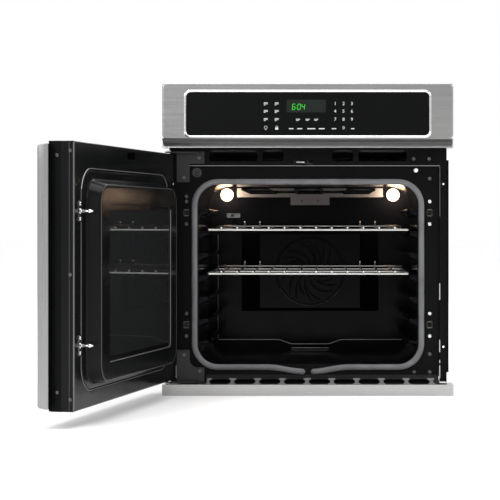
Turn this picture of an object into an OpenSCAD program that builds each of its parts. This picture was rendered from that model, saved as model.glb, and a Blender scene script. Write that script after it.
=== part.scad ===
// Built-in electric wall oven with a side-swing door, two wire racks, a convection fan and a cooling blower.
// Millimetres, +Z up. The front of the oven faces -Y and the cabinet lies towards +Y.
// The origin is on the underside of the base pan, midway across, in the plane of the face frame.

/* [Overall] */
// Width of the control panel and the door skin
face_w = 686; // [680:1:692]
// Height from the underside of the base to the top of the control panel
face_h = 736; // [730:1:745]
// Width of the body that goes into the cabinet
body_w = 624; // [620:1:626]
// Height of the body that goes into the cabinet
body_h = 686; // [680:1:692]
// Depth from the face frame to the back of the body
body_d = 568; // [560:1:590]

/* [Cavity] */
// Clear width of the oven cavity
cavity_w = 524; // [516:1:526]
// Height of the cavity floor above the base
cavity_z0 = 68; // [66:1:70]
// Height of the cavity ceiling above the base
cavity_z1 = 502; // [500:1:504]
// Depth of the cavity behind the face frame
cavity_d = 455; // [452:1:458]
// Radius of the cavity corners
cavity_r = 48; // [40:1:50]

/* [Door] */
// Angle by which the side-swing door stands open
door_open = 102; // [0:1:102]
// Height of the underside of the door
door_z0 = 34; // [34:1:36]
// Height of the top of the door
door_z1 = 570; // [566:1:570]
// Width of the door liner
liner_w = 650; // [646:1:650]
// Depth of the raised window plug of the liner
plug_d = 31; // [20:1:32]

/* [Racks] */
// Width of each wire rack
rack_w = 500; // [494:1:502]
// Height of the upper rack rail
rack_z_upper = 390; // [390:1:391]
// Distance between two neighbouring rack guides
guide_pitch = 53; // [52.5:0.5:53]

/* [Hidden] */
$fn = 48;

sheet = 1.5;          // thickness of the formed sheet metal
wall = 1.5;           // thickness of the enamelled cavity
panel_y = -60;        // front of the control panel and of the bottom trim
panel_z0 = 584;       // underside of the control panel
panel_z1 = 606;       // lower edge of the flat face of the control panel
panel_groove_z = 597; // deepest line of the groove under the flat face
panel_groove = 12;    // depth of that groove
panel_back = 8;       // plane where the face meets the cabinet
border_y = -8;        // front of the raised border of the face frame
frame_t = 2;          // thickness of the face frame
frame_w = 662;        // width of the face frame
step_x = 314;         // half width of the recessed part of the face frame
step_z = 542.5;       // height where the upper border starts
frame_z0 = 28;        // underside of the side borders
recess_z0 = 41;       // underside of the recessed part
trim_h = 26;          // height of the bottom trim
trim_back = -11;      // back of the bottom trim
pan_front = -10;      // front edge of the base pan
half_w = face_w / 2;
half_body = body_w / 2;
half_frame = frame_w / 2;
cavity_mid_z = (cavity_z0 + cavity_z1) / 2;
cavity_h = cavity_z1 - cavity_z0;
back_y = cavity_d + wall;   // outside of the cavity back

pivot = [-330.4, -25.3, 0]; // axis of the door hinge
pin_r = 4;                  // radius of the hinge pins
running = 0.08;             // radial clearance of a turning fit
seat = 0.05;                // radial clearance of a fixed pin in its hole
ear_r = 9;                  // radius of the hinge ears

liner_y = -12;              // inner face of the closed door
liner_t = 1.5;              // thickness of the door liner
door_mid_y = -61;           // back of the liner box, towards the skin
skin_y0 = -82;              // outer face of the door skin
skin_y1 = -63;              // inner edge of the skin's returns
skin_t = 1.5;
skin_inset = 5.5;           // how far the skin stays inside the height of the door
half_liner = liner_w / 2;
plug_y = liner_y + plug_d;  // face of the window plug with the door closed
plug_x = 252;               // half width of the window plug
plug_z0 = 82;
plug_z1 = 485;
plug_r = 40;
window_x = 204;             // half width of the inner window
window_z0 = 124;
window_z1 = 444;
window_r = 14;
outer_window_x = 232;       // half width of the window in the skin
outer_window_z0 = 130;
outer_window_z1 = 450;

gasket_x = 270.8;           // centre line of the door gasket
gasket_z0 = 62.5;
gasket_z1 = 505;
gasket_r = 56;
gasket_w = 13.6;
gasket_t = 11.5;
gasket_dip_x = 101;         // where the lower run starts to dip
gasket_end_x = 8;           // where each end stops, from the middle
gasket_dip = 11;            // how far the ends hang down

catch_x = 291;              // side distance of the door catches
catch_z = [431, 163];       // heights of the two catches
catch_screw = 27;           // screws above and below each catch
strike_len = 28;            // length of a strike pin

switch_x = 257.5;
switch_z = 532;
switch_travel = 6.3;
plunger_r = 5;
plunger_out = 18;           // how far the plunger stands out with the door open
blank_x = -265.5;       // plug in the spare switch hole
blank_z = 527;

hook_z = 551;               // height of the lock hook
hook_pivot = [-21, 70, 0];
hook_t = 3;

fan_z = 278;                // height of the convection fan
shroud_y = 434.5;             // front of the fan shroud
shroud_x = [183, 133];      // half width at the wall and at the front
shroud_dz = [107, 98];      // half height at the wall and at the front
fan_r = 74;
lamp_x = 222;
lamp_z = 481;
lamp_r = 17;

rack_front = 30;            // front rail of a rack
rack_back = 428;            // rear rail of a rack
rack_rail_r = 3;
rack_wire_r = 1.9;
rack_wires = 12;
rack_wire_pitch = 38;
rack_corner = 9;
guide_depth = 24;
guide_count = 7;

element_z = 488;            // height of the broil element
element_r = 3.2;

blower_y = 485;
blower_z = 600;
blower_half = 130;          // half length of the blower wheel
blower_r = 32;
duct_x = [58, 240];
duct_z = [547, 583];

// 2D helpers -----------------------------------------------------------------------------------

// Rectangle with round corners, given by its low and high corners
module rounded(low, high, r) {
    w = high[0] - low[0];
    h = high[1] - low[1];
    translate([low[0] + r, low[1]]) square([w - 2 * r, h]);
    translate([low[0], low[1] + r]) square([w, h - 2 * r]);
    for (x = [low[0] + r, high[0] - r], y = [low[1] + r, high[1] - r])
        translate([x, y]) circle(r);
}

// Rectangle given by its low and high corners
module rect(low, high) {
    translate(low) square([high[0] - low[0], high[1] - low[1]]);
}

// Round-cornered ring of the given wall, inside the outline
module ring(low, high, r, t) {
    difference() {
        rounded(low, high, r);
        rounded([low[0] + t, low[1] + t], [high[0] - t, high[1] - t], max(r - t, 0.5));
    }
}

// 3D helpers -----------------------------------------------------------------------------------

// Extrudes an outline in X and Z from y0 to y1
module wall_y(y0, y1) {
    translate([0, y1, 0]) rotate([90, 0, 0]) linear_extrude(y1 - y0) children();
}

// Extrudes an outline in X and Y from z0 to z1
module slab_z(z0, z1) {
    translate([0, 0, z0]) linear_extrude(z1 - z0) children();
}

// Extrudes an outline in Y and Z from x0 to x1
module bar_x(x0, x1) {
    translate([x0, 0, 0]) rotate([90, 0, 90]) linear_extrude(x1 - x0) children();
}

// Box given by its low and high corners
module box(low, high) {
    translate(low) cube([high[0] - low[0], high[1] - low[1], high[2] - low[2]]);
}

// Round rod along X, Y or Z
module rod_x(x0, x1, y, z, r) {
    translate([x0, y, z]) rotate([0, 90, 0]) cylinder(r = r, h = x1 - x0);
}

module rod_y(y0, y1, x, z, r) {
    translate([x, y0, z]) rotate([-90, 0, 0]) cylinder(r = r, h = y1 - y0);
}

module rod_z(z0, z1, x, y, r) {
    translate([x, y, z0]) cylinder(r = r, h = z1 - z0);
}

// Bend of a round rod in the XY plane, about its centre, from angle a0 through turn degrees
module bend_xy(x, y, z, radius, r, a0, turn) {
    translate([x, y, z]) rotate([0, 0, a0])
        rotate_extrude(angle = turn) translate([radius, 0]) circle(r);
}

// Both sides of the oven
module both_sides() {
    children();
    mirror([1, 0, 0]) children();
}

// Turns what is drawn for the closed door to the open door
module on_door() {
    translate(pivot) rotate([0, 0, -door_open]) translate(-pivot) children();
}

// Pan head screw whose head stands on the plane y, towards -Y
module screw_y(x, y, z, head_r = 4.5, head_t = 2.2, length = 6, r = 1.8) {
    difference() {
        rod_y(y - head_t, y, x, z, head_r);
        rod_y(y - head_t - 1, y - head_t + 1, x, z, head_r * 0.35);
    }
    rod_y(y, y + length, x, z, r);
}

// Body ---------------------------------------------------------------------------------------

module base_pan() color("silver") {
    slab_z(0, sheet) rect([-half_body, pan_front], [half_body, body_d - sheet]);
    both_sides()
        box([half_body - sheet, 12, sheet], [half_body, body_d - sheet, 20]);
    box([-half_body + sheet, 12, sheet], [half_body - sheet, 12 + sheet, 14]);
}

module side_panel() color("lightgray") {
    difference() {
        bar_x(half_body - sheet, half_body) rect([12, 20.2], [body_d - sheet, body_h - sheet]);
        for (row = [0 : 3], hole = [0 : 4])
            bar_x(half_body - 5, half_body + 5)
                rounded([420 + 26 * hole, 560 + 22 * row], [438 + 26 * hole, 566 + 22 * row], 2.9);
    }
}

module left_side_panel() mirror([1, 0, 0]) side_panel();

module right_side_panel() side_panel();

module top_cover() color("lightgray") {
    difference() {
        slab_z(body_h - sheet, body_h) rect([-half_body, panel_back], [half_body, body_d - sheet]);
        for (row = [0 : 2], slot = [-5 : 5])
            slab_z(body_h - 5, body_h + 5)
                rounded([44 * slot - 15, 380 + 40 * row], [44 * slot + 15, 387 + 40 * row], 3.4);
    }
    box([-half_body + sheet, panel_back, body_h - 12], [half_body - sheet, panel_back + sheet, body_h - sheet]);
}

module rear_cover() color("lightgray") {
    difference() {
        wall_y(body_d - sheet, body_d) rect([-half_body, 0], [half_body, body_h]);
        for (row = [0 : 4], slot = [-4 : 4])
            wall_y(body_d - 5, body_d + 5)
                rounded([40 * slot - 14, 250 + 18 * row], [40 * slot + 14, 257 + 18 * row], 3.4);
        rod_y(body_d - 5, body_d + 5, conduit_x, conduit_z, conduit_r + seat);
    }
}

conduit_x = -240;
conduit_z = 640;
conduit_r = 11;
conduit_bore = 9;

// Flanged sleeve through the rear cover where the supply conduit is clamped
module conduit_connector() color("darkgray") difference() {
    union() {
        rod_y(body_d - 14, body_d + 16, conduit_x, conduit_z, conduit_r);
        rod_y(body_d, body_d + 6, conduit_x, conduit_z, conduit_r + 5);
        rod_y(body_d - 14, body_d - sheet, conduit_x, conduit_z, conduit_r + 4);
    }
    rod_y(body_d - 20, body_d + 20, conduit_x, conduit_z, conduit_bore);
}

mount_x = 324.5;       // side distance of the cabinet screws
mount_z = [110, 500];  // heights of the cabinet screws
mount_r = 2.5;

// Angles that carry the cabinet screws, one on each side of the body
module mounting_rails() color("dimgray") both_sides() difference() {
    union() {
        box([half_body, panel_back, 49], [337, panel_back + sheet, 557]);
        box([half_body, panel_back + sheet, 49], [half_body + sheet, 34, 557]);
    }
    for (z = mount_z) rod_y(0, 20, mount_x, z, mount_r);
}

vent_slots = [[-236, -120], [-108, -58], [58, 108], [120, 236]];
vent_slot_z = [553, 579];

// Enamelled face of the oven: recessed round the cavity, with a raised border at the sides and the top
module face_frame() color("#1b1c1c") difference() {
    union() {
        wall_y(0, frame_t) rect([-step_x, recess_z0], [step_x, step_z]);
        both_sides() {
            box([step_x, border_y, frame_z0], [half_frame, border_y + frame_t, panel_z0]);
            box([step_x, border_y + frame_t, frame_z0], [step_x + frame_t, frame_t, step_z]);
            box([half_frame - frame_t, border_y + frame_t, frame_z0], [half_frame, panel_back, panel_z0]);
        }
        box([-step_x, border_y, step_z], [step_x, border_y + frame_t, panel_z0]);
        box([-step_x - frame_t, border_y + frame_t, step_z], [step_x + frame_t, frame_t, step_z + frame_t]);
        box([-half_frame + frame_t, border_y + frame_t, panel_z0 - frame_t],
            [half_frame - frame_t, panel_back, panel_z0]);
    }
    wall_y(-20, 20)
        rounded([-cavity_w / 2, cavity_z0], [cavity_w / 2, cavity_z1], cavity_r);
    for (s = vent_slots)
        wall_y(border_y - 5, border_y + 5) rounded([s[0], vent_slot_z[0]], [s[1], vent_slot_z[1]], 8);
    wall_y(border_y - 5, border_y + 5) rounded([-36, hook_z - 6], [12, hook_z + 6], 3);
    for (x = [-catch_x, catch_x], z = catch_z) {
        wall_y(-5, 5) rounded([x - 6.2, z - 8], [x + 6.2, z + 8], 2);
        for (dz = [-catch_screw, catch_screw]) rod_y(-5, 5, x, z + dz, 1.9);
    }
    rod_y(-5, 5, switch_x, switch_z, plunger_r + 0.8);
    rod_y(-5, 5, blank_x, blank_z, plunger_r + 0.8);
    for (x = [-mount_x, mount_x], z = mount_z) rod_y(border_y - 5, border_y + 5, x, z, 5);
    for (p = frame_screw_at) rod_y(-5, 5, p[0], p[1], 1.9);
    for (p = border_screw_at) rod_y(border_y - 5, 5, p[0], p[1], 1.9);
    for (p = bracket_screw_at) rod_y(border_y - 5, 5, p[0], p[1], 1.9);
}

// Screws of the face frame, in its recessed part
frame_screw_at = [[catch_x, 513], [catch_x, 93], [catch_x, 50], [254, 50], [-catch_x, 470]];
// Screws in its upper border
border_screw_at = [[252, 560], [289, 560]];
// Screws of the two hinge brackets
bracket_screw_at = [[-296, 515], [-260, 562], [-296, 92], [-258, 53]];

// Stainless strip under the door: a channel, open at the back
module bottom_trim() color("silver") difference() {
    box([-half_w, panel_y, 0], [half_w, trim_back, trim_h]);
    box([-half_w + sheet, panel_y + sheet, sheet], [half_w - sheet, trim_back + 1, trim_h - sheet]);
}

vent_web = 59;        // pitch of the webs of the vent strip
vent_strip_x = [-243, 312];

// Sloping grille that lets air in between the bottom trim and the face frame
module bottom_vent_strip() color("#4a4c4e") difference() {
    bar_x(vent_strip_x[0], vent_strip_x[1])
        polygon([[panel_y + 2, trim_h], [-13, trim_h + 6.6], [-2, trim_h + 12.4], [-2, recess_z0 + 3], [-0.4, recess_z0 + 3],
                 [-0.4, trim_h + 11.4], [-13, trim_h + 5.2], [panel_y + 8, trim_h]]);
    for (i = [-3 : 4])
        slab_z(trim_h - 5, trim_h + 30)
            rounded([vent_web * (i - 1) + 4.5 - 2, panel_y + 12], [vent_web * i - 4.5 - 2, -8], 13);
    slab_z(trim_h - 5, trim_h + 30)
        rounded([vent_web * 4 + 4.5 - 2, panel_y + 12], [vent_web * 5 - 4.5 - 2, -8], 13);
}

// Cavity -------------------------------------------------------------------------------------

guide_top = rack_z_upper - rack_rail_r - 0.2;

// One pressed rack guide on the right wall, with a flat top
module rack_guide(z) {
    wall_y(36, cavity_d - 18)
        polygon([[cavity_w / 2 + 0.5, z], [cavity_w / 2 - guide_depth + 2, z], [cavity_w / 2 - guide_depth, z - 2],
                 [cavity_w / 2 - guide_depth, z - 9], [cavity_w / 2 + 0.5, z - 20]]);
}

module cavity_wrap() color("#14161c") {
    wall_y(frame_t, cavity_d)
        ring([-cavity_w / 2 - wall, cavity_z0 - wall], [cavity_w / 2 + wall, cavity_z1 + wall], cavity_r + wall, wall);
    both_sides()
        for (i = [-1 : guide_count - 2]) rack_guide(guide_top - guide_pitch * i);
}

module cavity_back() color("#14161c") difference() {
    wall_y(cavity_d, back_y)
        rounded([-cavity_w / 2 - wall, cavity_z0 - wall], [cavity_w / 2 + wall, cavity_z1 + wall], cavity_r + wall);
    rod_y(cavity_d - 5, back_y + 5, 0, fan_z, 9);
    for (x = [-lamp_x, lamp_x]) rod_y(cavity_d - 5, back_y + 5, x, lamp_z, lamp_r - 1.5);
    for (x = [-20, 20]) rod_y(cavity_d - 5, back_y + 5, x, element_z, element_r + 0.4);
    for (x = [-16, 16]) rod_y(cavity_d - 5, back_y + 5, x, fan_z + ring_r, element_r + 0.4);
    rod_y(cavity_d - 5, back_y + 5, probe_x, probe_z, 3.6);
}

floor_side = cavity_w / 2 - cavity_r + 34;

// Loose floor of the cavity: a flat sheet with a rear lip that dips in the middle
module floor_panel() color("#14161c") {
    slab_z(cavity_z0 + 0.2, cavity_z0 + 1.7)
        rounded([-cavity_w / 2 + cavity_r, 8], [cavity_w / 2 - cavity_r, cavity_d - 6], 6);
    wall_y(cavity_d - 6, cavity_d - 4.5)
        polygon([[-floor_side, cavity_z0 + 14.8], [-floor_side + 14, cavity_z0 + 4.9], [-210, cavity_z0 + 0.2], [210, cavity_z0 + 0.2],
                 [floor_side - 14, cavity_z0 + 4.9], [floor_side, cavity_z0 + 14.8], [floor_side, cavity_z0 + 27], [82, cavity_z0 + 27],
                 [51, cavity_z0 + 15], [-51, cavity_z0 + 15], [-82, cavity_z0 + 27], [-floor_side, cavity_z0 + 27]]);
    wall_y(cavity_d - 8, cavity_d - 6)
        rect([-50, cavity_z0 + 0.2], [50, cavity_z0 + 5]);
}

insulation_out = 303;
insulation_z = [20, 541];

module cavity_insulation() color("#d8cf9a") difference() {
    wall_y(42, back_y)
        rounded([-insulation_out, insulation_z[0]], [insulation_out, insulation_z[1]], 20);
    wall_y(0, body_d)
        rounded([-cavity_w / 2 - wall - 0.5, cavity_z0 - wall - 12], [cavity_w / 2 + wall + 0.5, cavity_z1 + wall + 0.5],
                cavity_r + wall);
    both_sides() box([240, 0, cavity_z0 - 14], [cavity_w / 2 + 2, body_d, cavity_z0 + 40]);
}

module rear_insulation() color("#d8cf9a") difference() {
    wall_y(back_y + 0.5, back_y + 38)
        rounded([-insulation_out, insulation_z[0]], [insulation_out, insulation_z[1]], 20);
    rod_y(back_y - 5, back_y + 50, 0, fan_z, 48);
    for (x = [-lamp_x, lamp_x]) rod_y(back_y - 5, back_y + 50, x, lamp_z, 23);
    box([-32, back_y - 5, element_z - 12], [32, back_y + 50, element_z + 12]);
    box([-30, back_y - 5, fan_z + 20], [30, back_y + 50, fan_z + ring_r + 12]);
    rod_y(back_y - 5, back_y + 50, probe_x, probe_z, 9);
    for (x = [-30, 30]) rod_y(back_y - 5, back_y + 50, x, bake_z, 6);
}

bake_z = cavity_z0 - wall - 7;

// Serpentine of a tubular element: runs along Y at each x, joined by round bends
module serpentine(xs, y0, y1, z, r) {
    for (x = xs) rod_y(y0, y1, x, z, r);
    for (i = [0 : len(xs) - 2]) {
        mid = (xs[i] + xs[i + 1]) / 2;
        radius = (xs[i + 1] - xs[i]) / 2;
        front = i % 2 == 0;
        bend_xy(mid, front ? y0 : y1, z, radius, r, front ? 180 : 0, 180);
    }
}

bake_runs = [-170, -102, -34, 34, 102, 170];

module bake_element() color("dimgray") {
    serpentine(bake_runs, 100, 380, bake_z, element_r);
    for (s = [-1, 1]) {
        rod_y(380, 414, s * 170, bake_z, element_r);
        bend_xy(s * 154, 414, bake_z, 16, element_r, s > 0 ? 0 : 90, 90);
        rod_x(s > 0 ? 46 : -154, s > 0 ? 154 : -46, 430, bake_z, element_r);
        bend_xy(s * 46, 446, bake_z, 16, element_r, s > 0 ? 180 : 270, 90);
        rod_y(446, back_y + 40, s * 30, bake_z, element_r);
    }
}

broil_runs = [-192, -128, -64, 0, 64, 128, 192];

module broil_element() color("#2a2a2c") {
    serpentine([for (i = [0 : 5]) broil_runs[i] + 32], 66, 378, element_z, element_r);
    for (s = [-1, 1]) {
        rod_y(378, 396, s * 160, element_z, element_r);
        bend_xy(s * 146, 396, element_z, 14, element_r, s > 0 ? 0 : 90, 90);
        rod_x(s > 0 ? 34 : -146, s > 0 ? 146 : -34, 410 + 14 - 14, element_z, element_r);
        bend_xy(s * 34, 424, element_z, 14, element_r, s > 0 ? 180 : 270, 90);
        rod_y(424, back_y + 30, s * 20, element_z, element_r);
    }
}

// Grey bracket under the ceiling that carries the broil element, with three slots and a screwed tab
module broil_bracket() color("#8d8f92") difference() {
    union() {
        wall_y(cavity_d - 4.2, cavity_d - 3) rect([-195, 475], [195, 499]);
        wall_y(cavity_d - 4.2, cavity_d - 3) rect([-52, 454], [52, 475]);
        box([-195, cavity_d - 3, 497.8], [195, cavity_d - 0.2, 499]);
        for (x = [-22, 22]) rod_y(cavity_d - 3, cavity_d, x, 465, 6);
    }
    for (x = [-125, 0, 125]) wall_y(cavity_d - 10, cavity_d + 1) rounded([x - 38, 483], [x + 38, 493], 4);
    for (x = [-22, 22]) rod_y(cavity_d - 10, cavity_d + 5, x, 465, 2);
}

// Convection ---------------------------------------------------------------------------------

ring_r = 90;          // radius of the ring element and of the bead round the grille
slot_turn = 34;       // sweep of a grille slot from its inner to its outer end
grille_slots = 24;

// Truncated pyramid on the cavity back, given by its half sizes at the wall and at the front
module frustum(y0, y1, hx, hz) {
    intersection() {
        translate([0, 0, fan_z]) slab_z(-200, 200)
            polygon([[-hx[0], y1], [-hx[1], y0], [hx[1], y0], [hx[0], y1]]);
        translate([0, 0, fan_z]) bar_x(-300, 300)
            polygon([[y1, -hz[0]], [y0, -hz[1]], [y0, hz[1]], [y1, hz[0]]]);
    }
}

// A point of a swirl at radius r, where the sweep runs from 0 to slot_turn between r0 and r1
function swirl(r, r0, r1, a) = [r * cos(a + slot_turn * (r - r0) / (r1 - r0)), r * sin(a + slot_turn * (r - r0) / (r1 - r0))];

// One curved slot of the grille, its half width w measured as an angle that shrinks with the radius
module swirl_slot(a, r0, r1, w, steps = 5) {
    polygon(concat(
        [for (i = [0 : steps]) let (r = r0 + (r1 - r0) * i / steps) swirl(r, r0, r1, a + w / r * 57.3)],
        [for (i = [steps : -1 : 0]) let (r = r0 + (r1 - r0) * i / steps) swirl(r, r0, r1, a - w / r * 57.3)]));
}

module fan_shroud() color("#16181d") {
    difference() {
        frustum(shroud_y, cavity_d, shroud_x, shroud_dz);
        frustum(shroud_y + wall, cavity_d + 0.01, [shroud_x[0] - wall, shroud_x[1] - wall], [shroud_dz[0] - wall, shroud_dz[1] - wall]);
        translate([0, 0, fan_z]) wall_y(shroud_y - 5, shroud_y + 5) for (i = [0 : grille_slots - 1])
            swirl_slot(360 / grille_slots * i, i % 2 == 0 ? 24 : 40, i % 3 == 0 ? 66 : 80, i % 2 == 0 ? 2.2 : 2.8);
    }
    translate([0, shroud_y, fan_z]) rotate([-90, 0, 0])
        rotate_extrude() polygon([[ring_r - 3, 0], [ring_r - 1.5, -1.8], [ring_r + 1.5, -1.8], [ring_r + 3, 0]]);
    translate([0, shroud_y, fan_z]) rotate([-90, 0, 0])
        rotate_extrude() polygon([[0, 0], [0, -2.5], [12, -2], [15, 0]]);
}

element_ring_y = 445;

module convection_element() color("dimgray") {
    translate([0, element_ring_y, fan_z]) rotate([90, 0, 0]) rotate([0, 0, 100])
        rotate_extrude(angle = 340) translate([ring_r, 0]) circle(element_r);
    for (x = [-16, 16]) rod_y(element_ring_y, back_y + 30, x, fan_z + ring_r, element_r);
}

module convection_fan() color("silver") translate([0, 0, fan_z]) rotate([-90, 0, 0]) {
    difference() {
        translate([0, 0, 449]) cylinder(r = fan_r, h = 1.2);
        translate([0, 0, 440]) cylinder(r = 4, h = 20);
    }
    difference() {
        translate([0, 0, 437.5]) cylinder(r = 9, h = 11.5);
        translate([0, 0, 430]) cylinder(r = 4, h = 30);
    }
    for (i = [0 : 11]) rotate([0, 0, 30 * i])
        translate([22, -0.6, 437.5]) rotate([0, 0, 24]) cube([50, 1.2, 11.7]);
}

module convection_motor() color("gray") translate([0, 0, fan_z]) rotate([-90, 0, 0]) {
    translate([0, 0, 439]) cylinder(r = 3.95, h = 31);
    translate([0, 0, 470]) cylinder(r = 34, h = 34);
    translate([0, 0, back_y + 4]) difference() {
        cylinder(r = 44, h = 2);
        translate([0, 0, -1]) cylinder(r = 5, h = 4);
    }
    for (a = [45 : 90 : 315]) rotate([0, 0, a]) translate([38, 0, back_y]) cylinder(r = 4, h = 4);
    for (a = [0 : 90 : 270]) rotate([0, 0, a]) translate([30, 0, back_y + 6]) cylinder(r = 3, h = 470 - back_y - 6);
}

module lamp_lenses() color("white") for (x = [-lamp_x, lamp_x])
    translate([x, cavity_d, lamp_z]) rotate([90, 0, 0]) difference() {
        union() {
            cylinder(r = lamp_r, h = 4);
            translate([0, 0, 4]) intersection() {
                translate([0, 0, -9.6]) sphere(r = 19.5);
                cylinder(r = lamp_r, h = 20);
            }
        }
        translate([0, 0, -1]) cylinder(r = lamp_r - 3, h = 5);
        intersection() {
            translate([0, 0, -7.6]) sphere(r = 17.2);
            translate([0, 0, 3.9]) cylinder(r = lamp_r - 4, h = 20);
        }
    }

module lamp_bulbs() color("lightyellow") for (x = [-lamp_x, lamp_x])
    translate([x, back_y, lamp_z]) rotate([90, 0, 0]) {
        translate([0, 0, -9]) cylinder(r = 5, h = 10);
        cylinder(r = 6.5, h = 7);
    }

module lamp_housings() color("gainsboro") for (x = [-lamp_x, lamp_x])
    translate([x, back_y, lamp_z]) rotate([-90, 0, 0]) difference() {
        union() {
            cylinder(r = 20, h = 2);
            cylinder(r = 17.5, h = 32);
        }
        translate([0, 0, -1]) cylinder(r = 15, h = 10);
        translate([0, 0, 8]) cylinder(r = 5 + seat, h = 1.2);
    }

probe_x = -205;
probe_z = 426;

module temperature_probe() color("silver") {
    rod_y(300, back_y + 20, probe_x, probe_z, 3);
    difference() {
        wall_y(cavity_d - 1.4, cavity_d) rounded([probe_x - 18, probe_z - 6], [probe_x + 18, probe_z + 6], 3);
        rod_y(cavity_d - 5, cavity_d + 5, probe_x, probe_z, 2.9);
    }
    for (x = [-12, 12]) rod_y(cavity_d - 3.2, cavity_d - 1.4, probe_x + x, probe_z, 3.2);
}

// Racks --------------------------------------------------------------------------------------

// Wire rack: a rail all round, wires from front to back on it, a raised rear rail and four rear stops
module rack(z) {
    x = rack_w / 2 - rack_rail_r;
    wire_z = z + rack_rail_r + rack_wire_r - 0.4;
    rod_x(-x + rack_corner, x - rack_corner, rack_front, z, rack_rail_r);
    rod_x(-x + rack_corner, x - rack_corner, rack_back, z, rack_rail_r);
    both_sides() {
        rod_y(rack_front + rack_corner, rack_back - rack_corner, x, z, rack_rail_r);
        bend_xy(x - rack_corner, rack_front + rack_corner, z, rack_corner, rack_rail_r, 270, 90);
        bend_xy(x - rack_corner, rack_back - rack_corner, z, rack_corner, rack_rail_r, 0, 90);
        for (p = [133, 173]) rod_z(wire_z, wire_z + 14, p, rack_back - 1, rack_wire_r);
        for (p = [133, 173]) translate([p, rack_back - 1, wire_z + 14]) sphere(r = rack_wire_r, $fn = 24);
    }
    for (i = [0 : rack_wires - 1])
        rod_y(rack_front - 2, rack_back + 1, rack_wire_pitch * (i - (rack_wires - 1) / 2), wire_z, rack_wire_r);
    rod_x(-x + 6, x - 6, rack_back - 9, wire_z + 2 * rack_wire_r - 0.4, rack_wire_r + 0.4);
    rod_x(-x + 6, x - 6, rack_front + 9, wire_z + 2 * rack_wire_r - 0.4 - 4 * rack_wire_r - 0.2, rack_wire_r);
    rod_x(-x, x, (rack_front + rack_back) / 2, z - 0.2, rack_rail_r - 0.2);
}

module upper_rack() color("gainsboro") rack(rack_z_upper);

module lower_rack() color("gainsboro") rack(rack_z_upper - 2 * guide_pitch);

// Door gasket --------------------------------------------------------------------------------

// Flat band of gasket round the cavity mouth. Its lower run is split in the middle, where both ends hang down
module door_gasket() color("#6d6e70") {
    h = gasket_w / 2;
    wall_y(-gasket_t, 0) {
        difference() {
            rounded([-gasket_x - h, gasket_z0 - h], [gasket_x + h, gasket_z1 + h], gasket_r + h);
            rounded([-gasket_x + h, gasket_z0 + h], [gasket_x - h, gasket_z1 - h], gasket_r - h);
            rect([-gasket_dip_x, gasket_z0 - h - 1], [gasket_dip_x, gasket_z0 + h + 1]);
        }
        for (s = [-1, 1])
            polygon([[s * (gasket_dip_x + 2), gasket_z0 - h], [s * gasket_end_x, gasket_z0 - gasket_dip - h],
                     [s * (gasket_end_x - 4), gasket_z0 - gasket_dip - h + 3], [s * (gasket_end_x - 4), gasket_z0 - gasket_dip + h - 3],
                     [s * gasket_end_x, gasket_z0 - gasket_dip + h], [s * (gasket_dip_x + 2), gasket_z0 + h]]);
    }
}

// Cooling air --------------------------------------------------------------------------------

duct_end = 430;

// Two sheet ducts that lead the cooling air to the vents over the door
module air_ducts() color("lightgray") both_sides() difference() {
    box([duct_x[0] - 4, 3, duct_z[0]], [duct_x[1] + 4, duct_end, duct_z[1] - 2.5]);
    box([duct_x[0] - 4 + sheet, 2, duct_z[0] + sheet], [duct_x[1] + 4 - sheet, duct_end + 1, duct_z[1] - 2.5 - sheet]);
}

module blower_housing() color("lightgray") difference() {
    union() {
        box([-duct_x[1] - 6, duct_end, duct_z[0] - 2], [duct_x[1] + 6, blower_y, duct_z[1]]);
        rod_x(-duct_x[1] - 6, duct_x[1] + 6, blower_y, blower_z - 9, blower_r + 12);
    }
    box([-duct_x[1] - 6 + sheet, duct_end - 1, duct_z[0] - 2 + sheet], [duct_x[1] + 6 - sheet, blower_y, duct_z[1] - sheet]);
    rod_x(-duct_x[1] - 6 + sheet, duct_x[1] + 6 - sheet, blower_y, blower_z - 9, blower_r + 12 - sheet);
    box([-blower_half, blower_y - 26, blower_z + 10], [blower_half, blower_y + 26, blower_z + 60]);
    rod_x(duct_x[1] - 10, duct_x[1] + 20, blower_y, blower_z - 9, 8);
}

module blower_wheel() color("gainsboro") {
    for (x = [-blower_half, -2, blower_half - 2])
        difference() {
            rod_x(x, x + 2, blower_y, blower_z - 9, blower_r);
            rod_x(x - 1, x + 3, blower_y, blower_z - 9, x == -2 ? blower_r - 6 : 5);
        }
    for (i = [0 : 19])
        translate([0, blower_y, blower_z - 9]) rotate([18 * i, 0, 0])
            translate([-blower_half + 1, 0, blower_r - 9.3]) rotate([30, 0, 0]) cube([2 * blower_half - 2, 1, 7.1]);
    for (x = [[-blower_half - 6, -blower_half + 8], [blower_half - 8, blower_half + 6]])
        difference() {
            rod_x(x[0], x[1], blower_y, blower_z - 9, 10);
            rod_x(x[0] - 1, x[1] + 1, blower_y, blower_z - 9, 4);
        }
}

module blower_motor() color("dimgray") {
    rod_x(-blower_half - 30, duct_x[1] + 12, blower_y, blower_z - 9, 3.95);
    rod_x(duct_x[1] + 12, duct_x[1] + 48, blower_y, blower_z - 9, 30);
}

// Control panel ------------------------------------------------------------------------------

// Outer form of the panel, made smaller by inset: a flat face over a groove that runs out through flat ends
module panel_form(inset) {
    x = half_w - inset;
    y = panel_y + inset;
    intersection() {
        wall_y(panel_y - 5, panel_back)
            rect([-x, panel_z0 - 0.01], [x, face_h - inset]);
        bar_x(-half_w - 5, half_w + 5)
            polygon([[y, face_h + 5], [y, panel_z1], [y + panel_groove, panel_groove_z], [y, panel_z0 - 0.01], [panel_back + 1, panel_z0 - 0.01],
                     [panel_back + 1, face_h + 5]]);
    }
}

glass_x = 286;
glass_z = [613, 714.5];
glass_r = 11;

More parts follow.
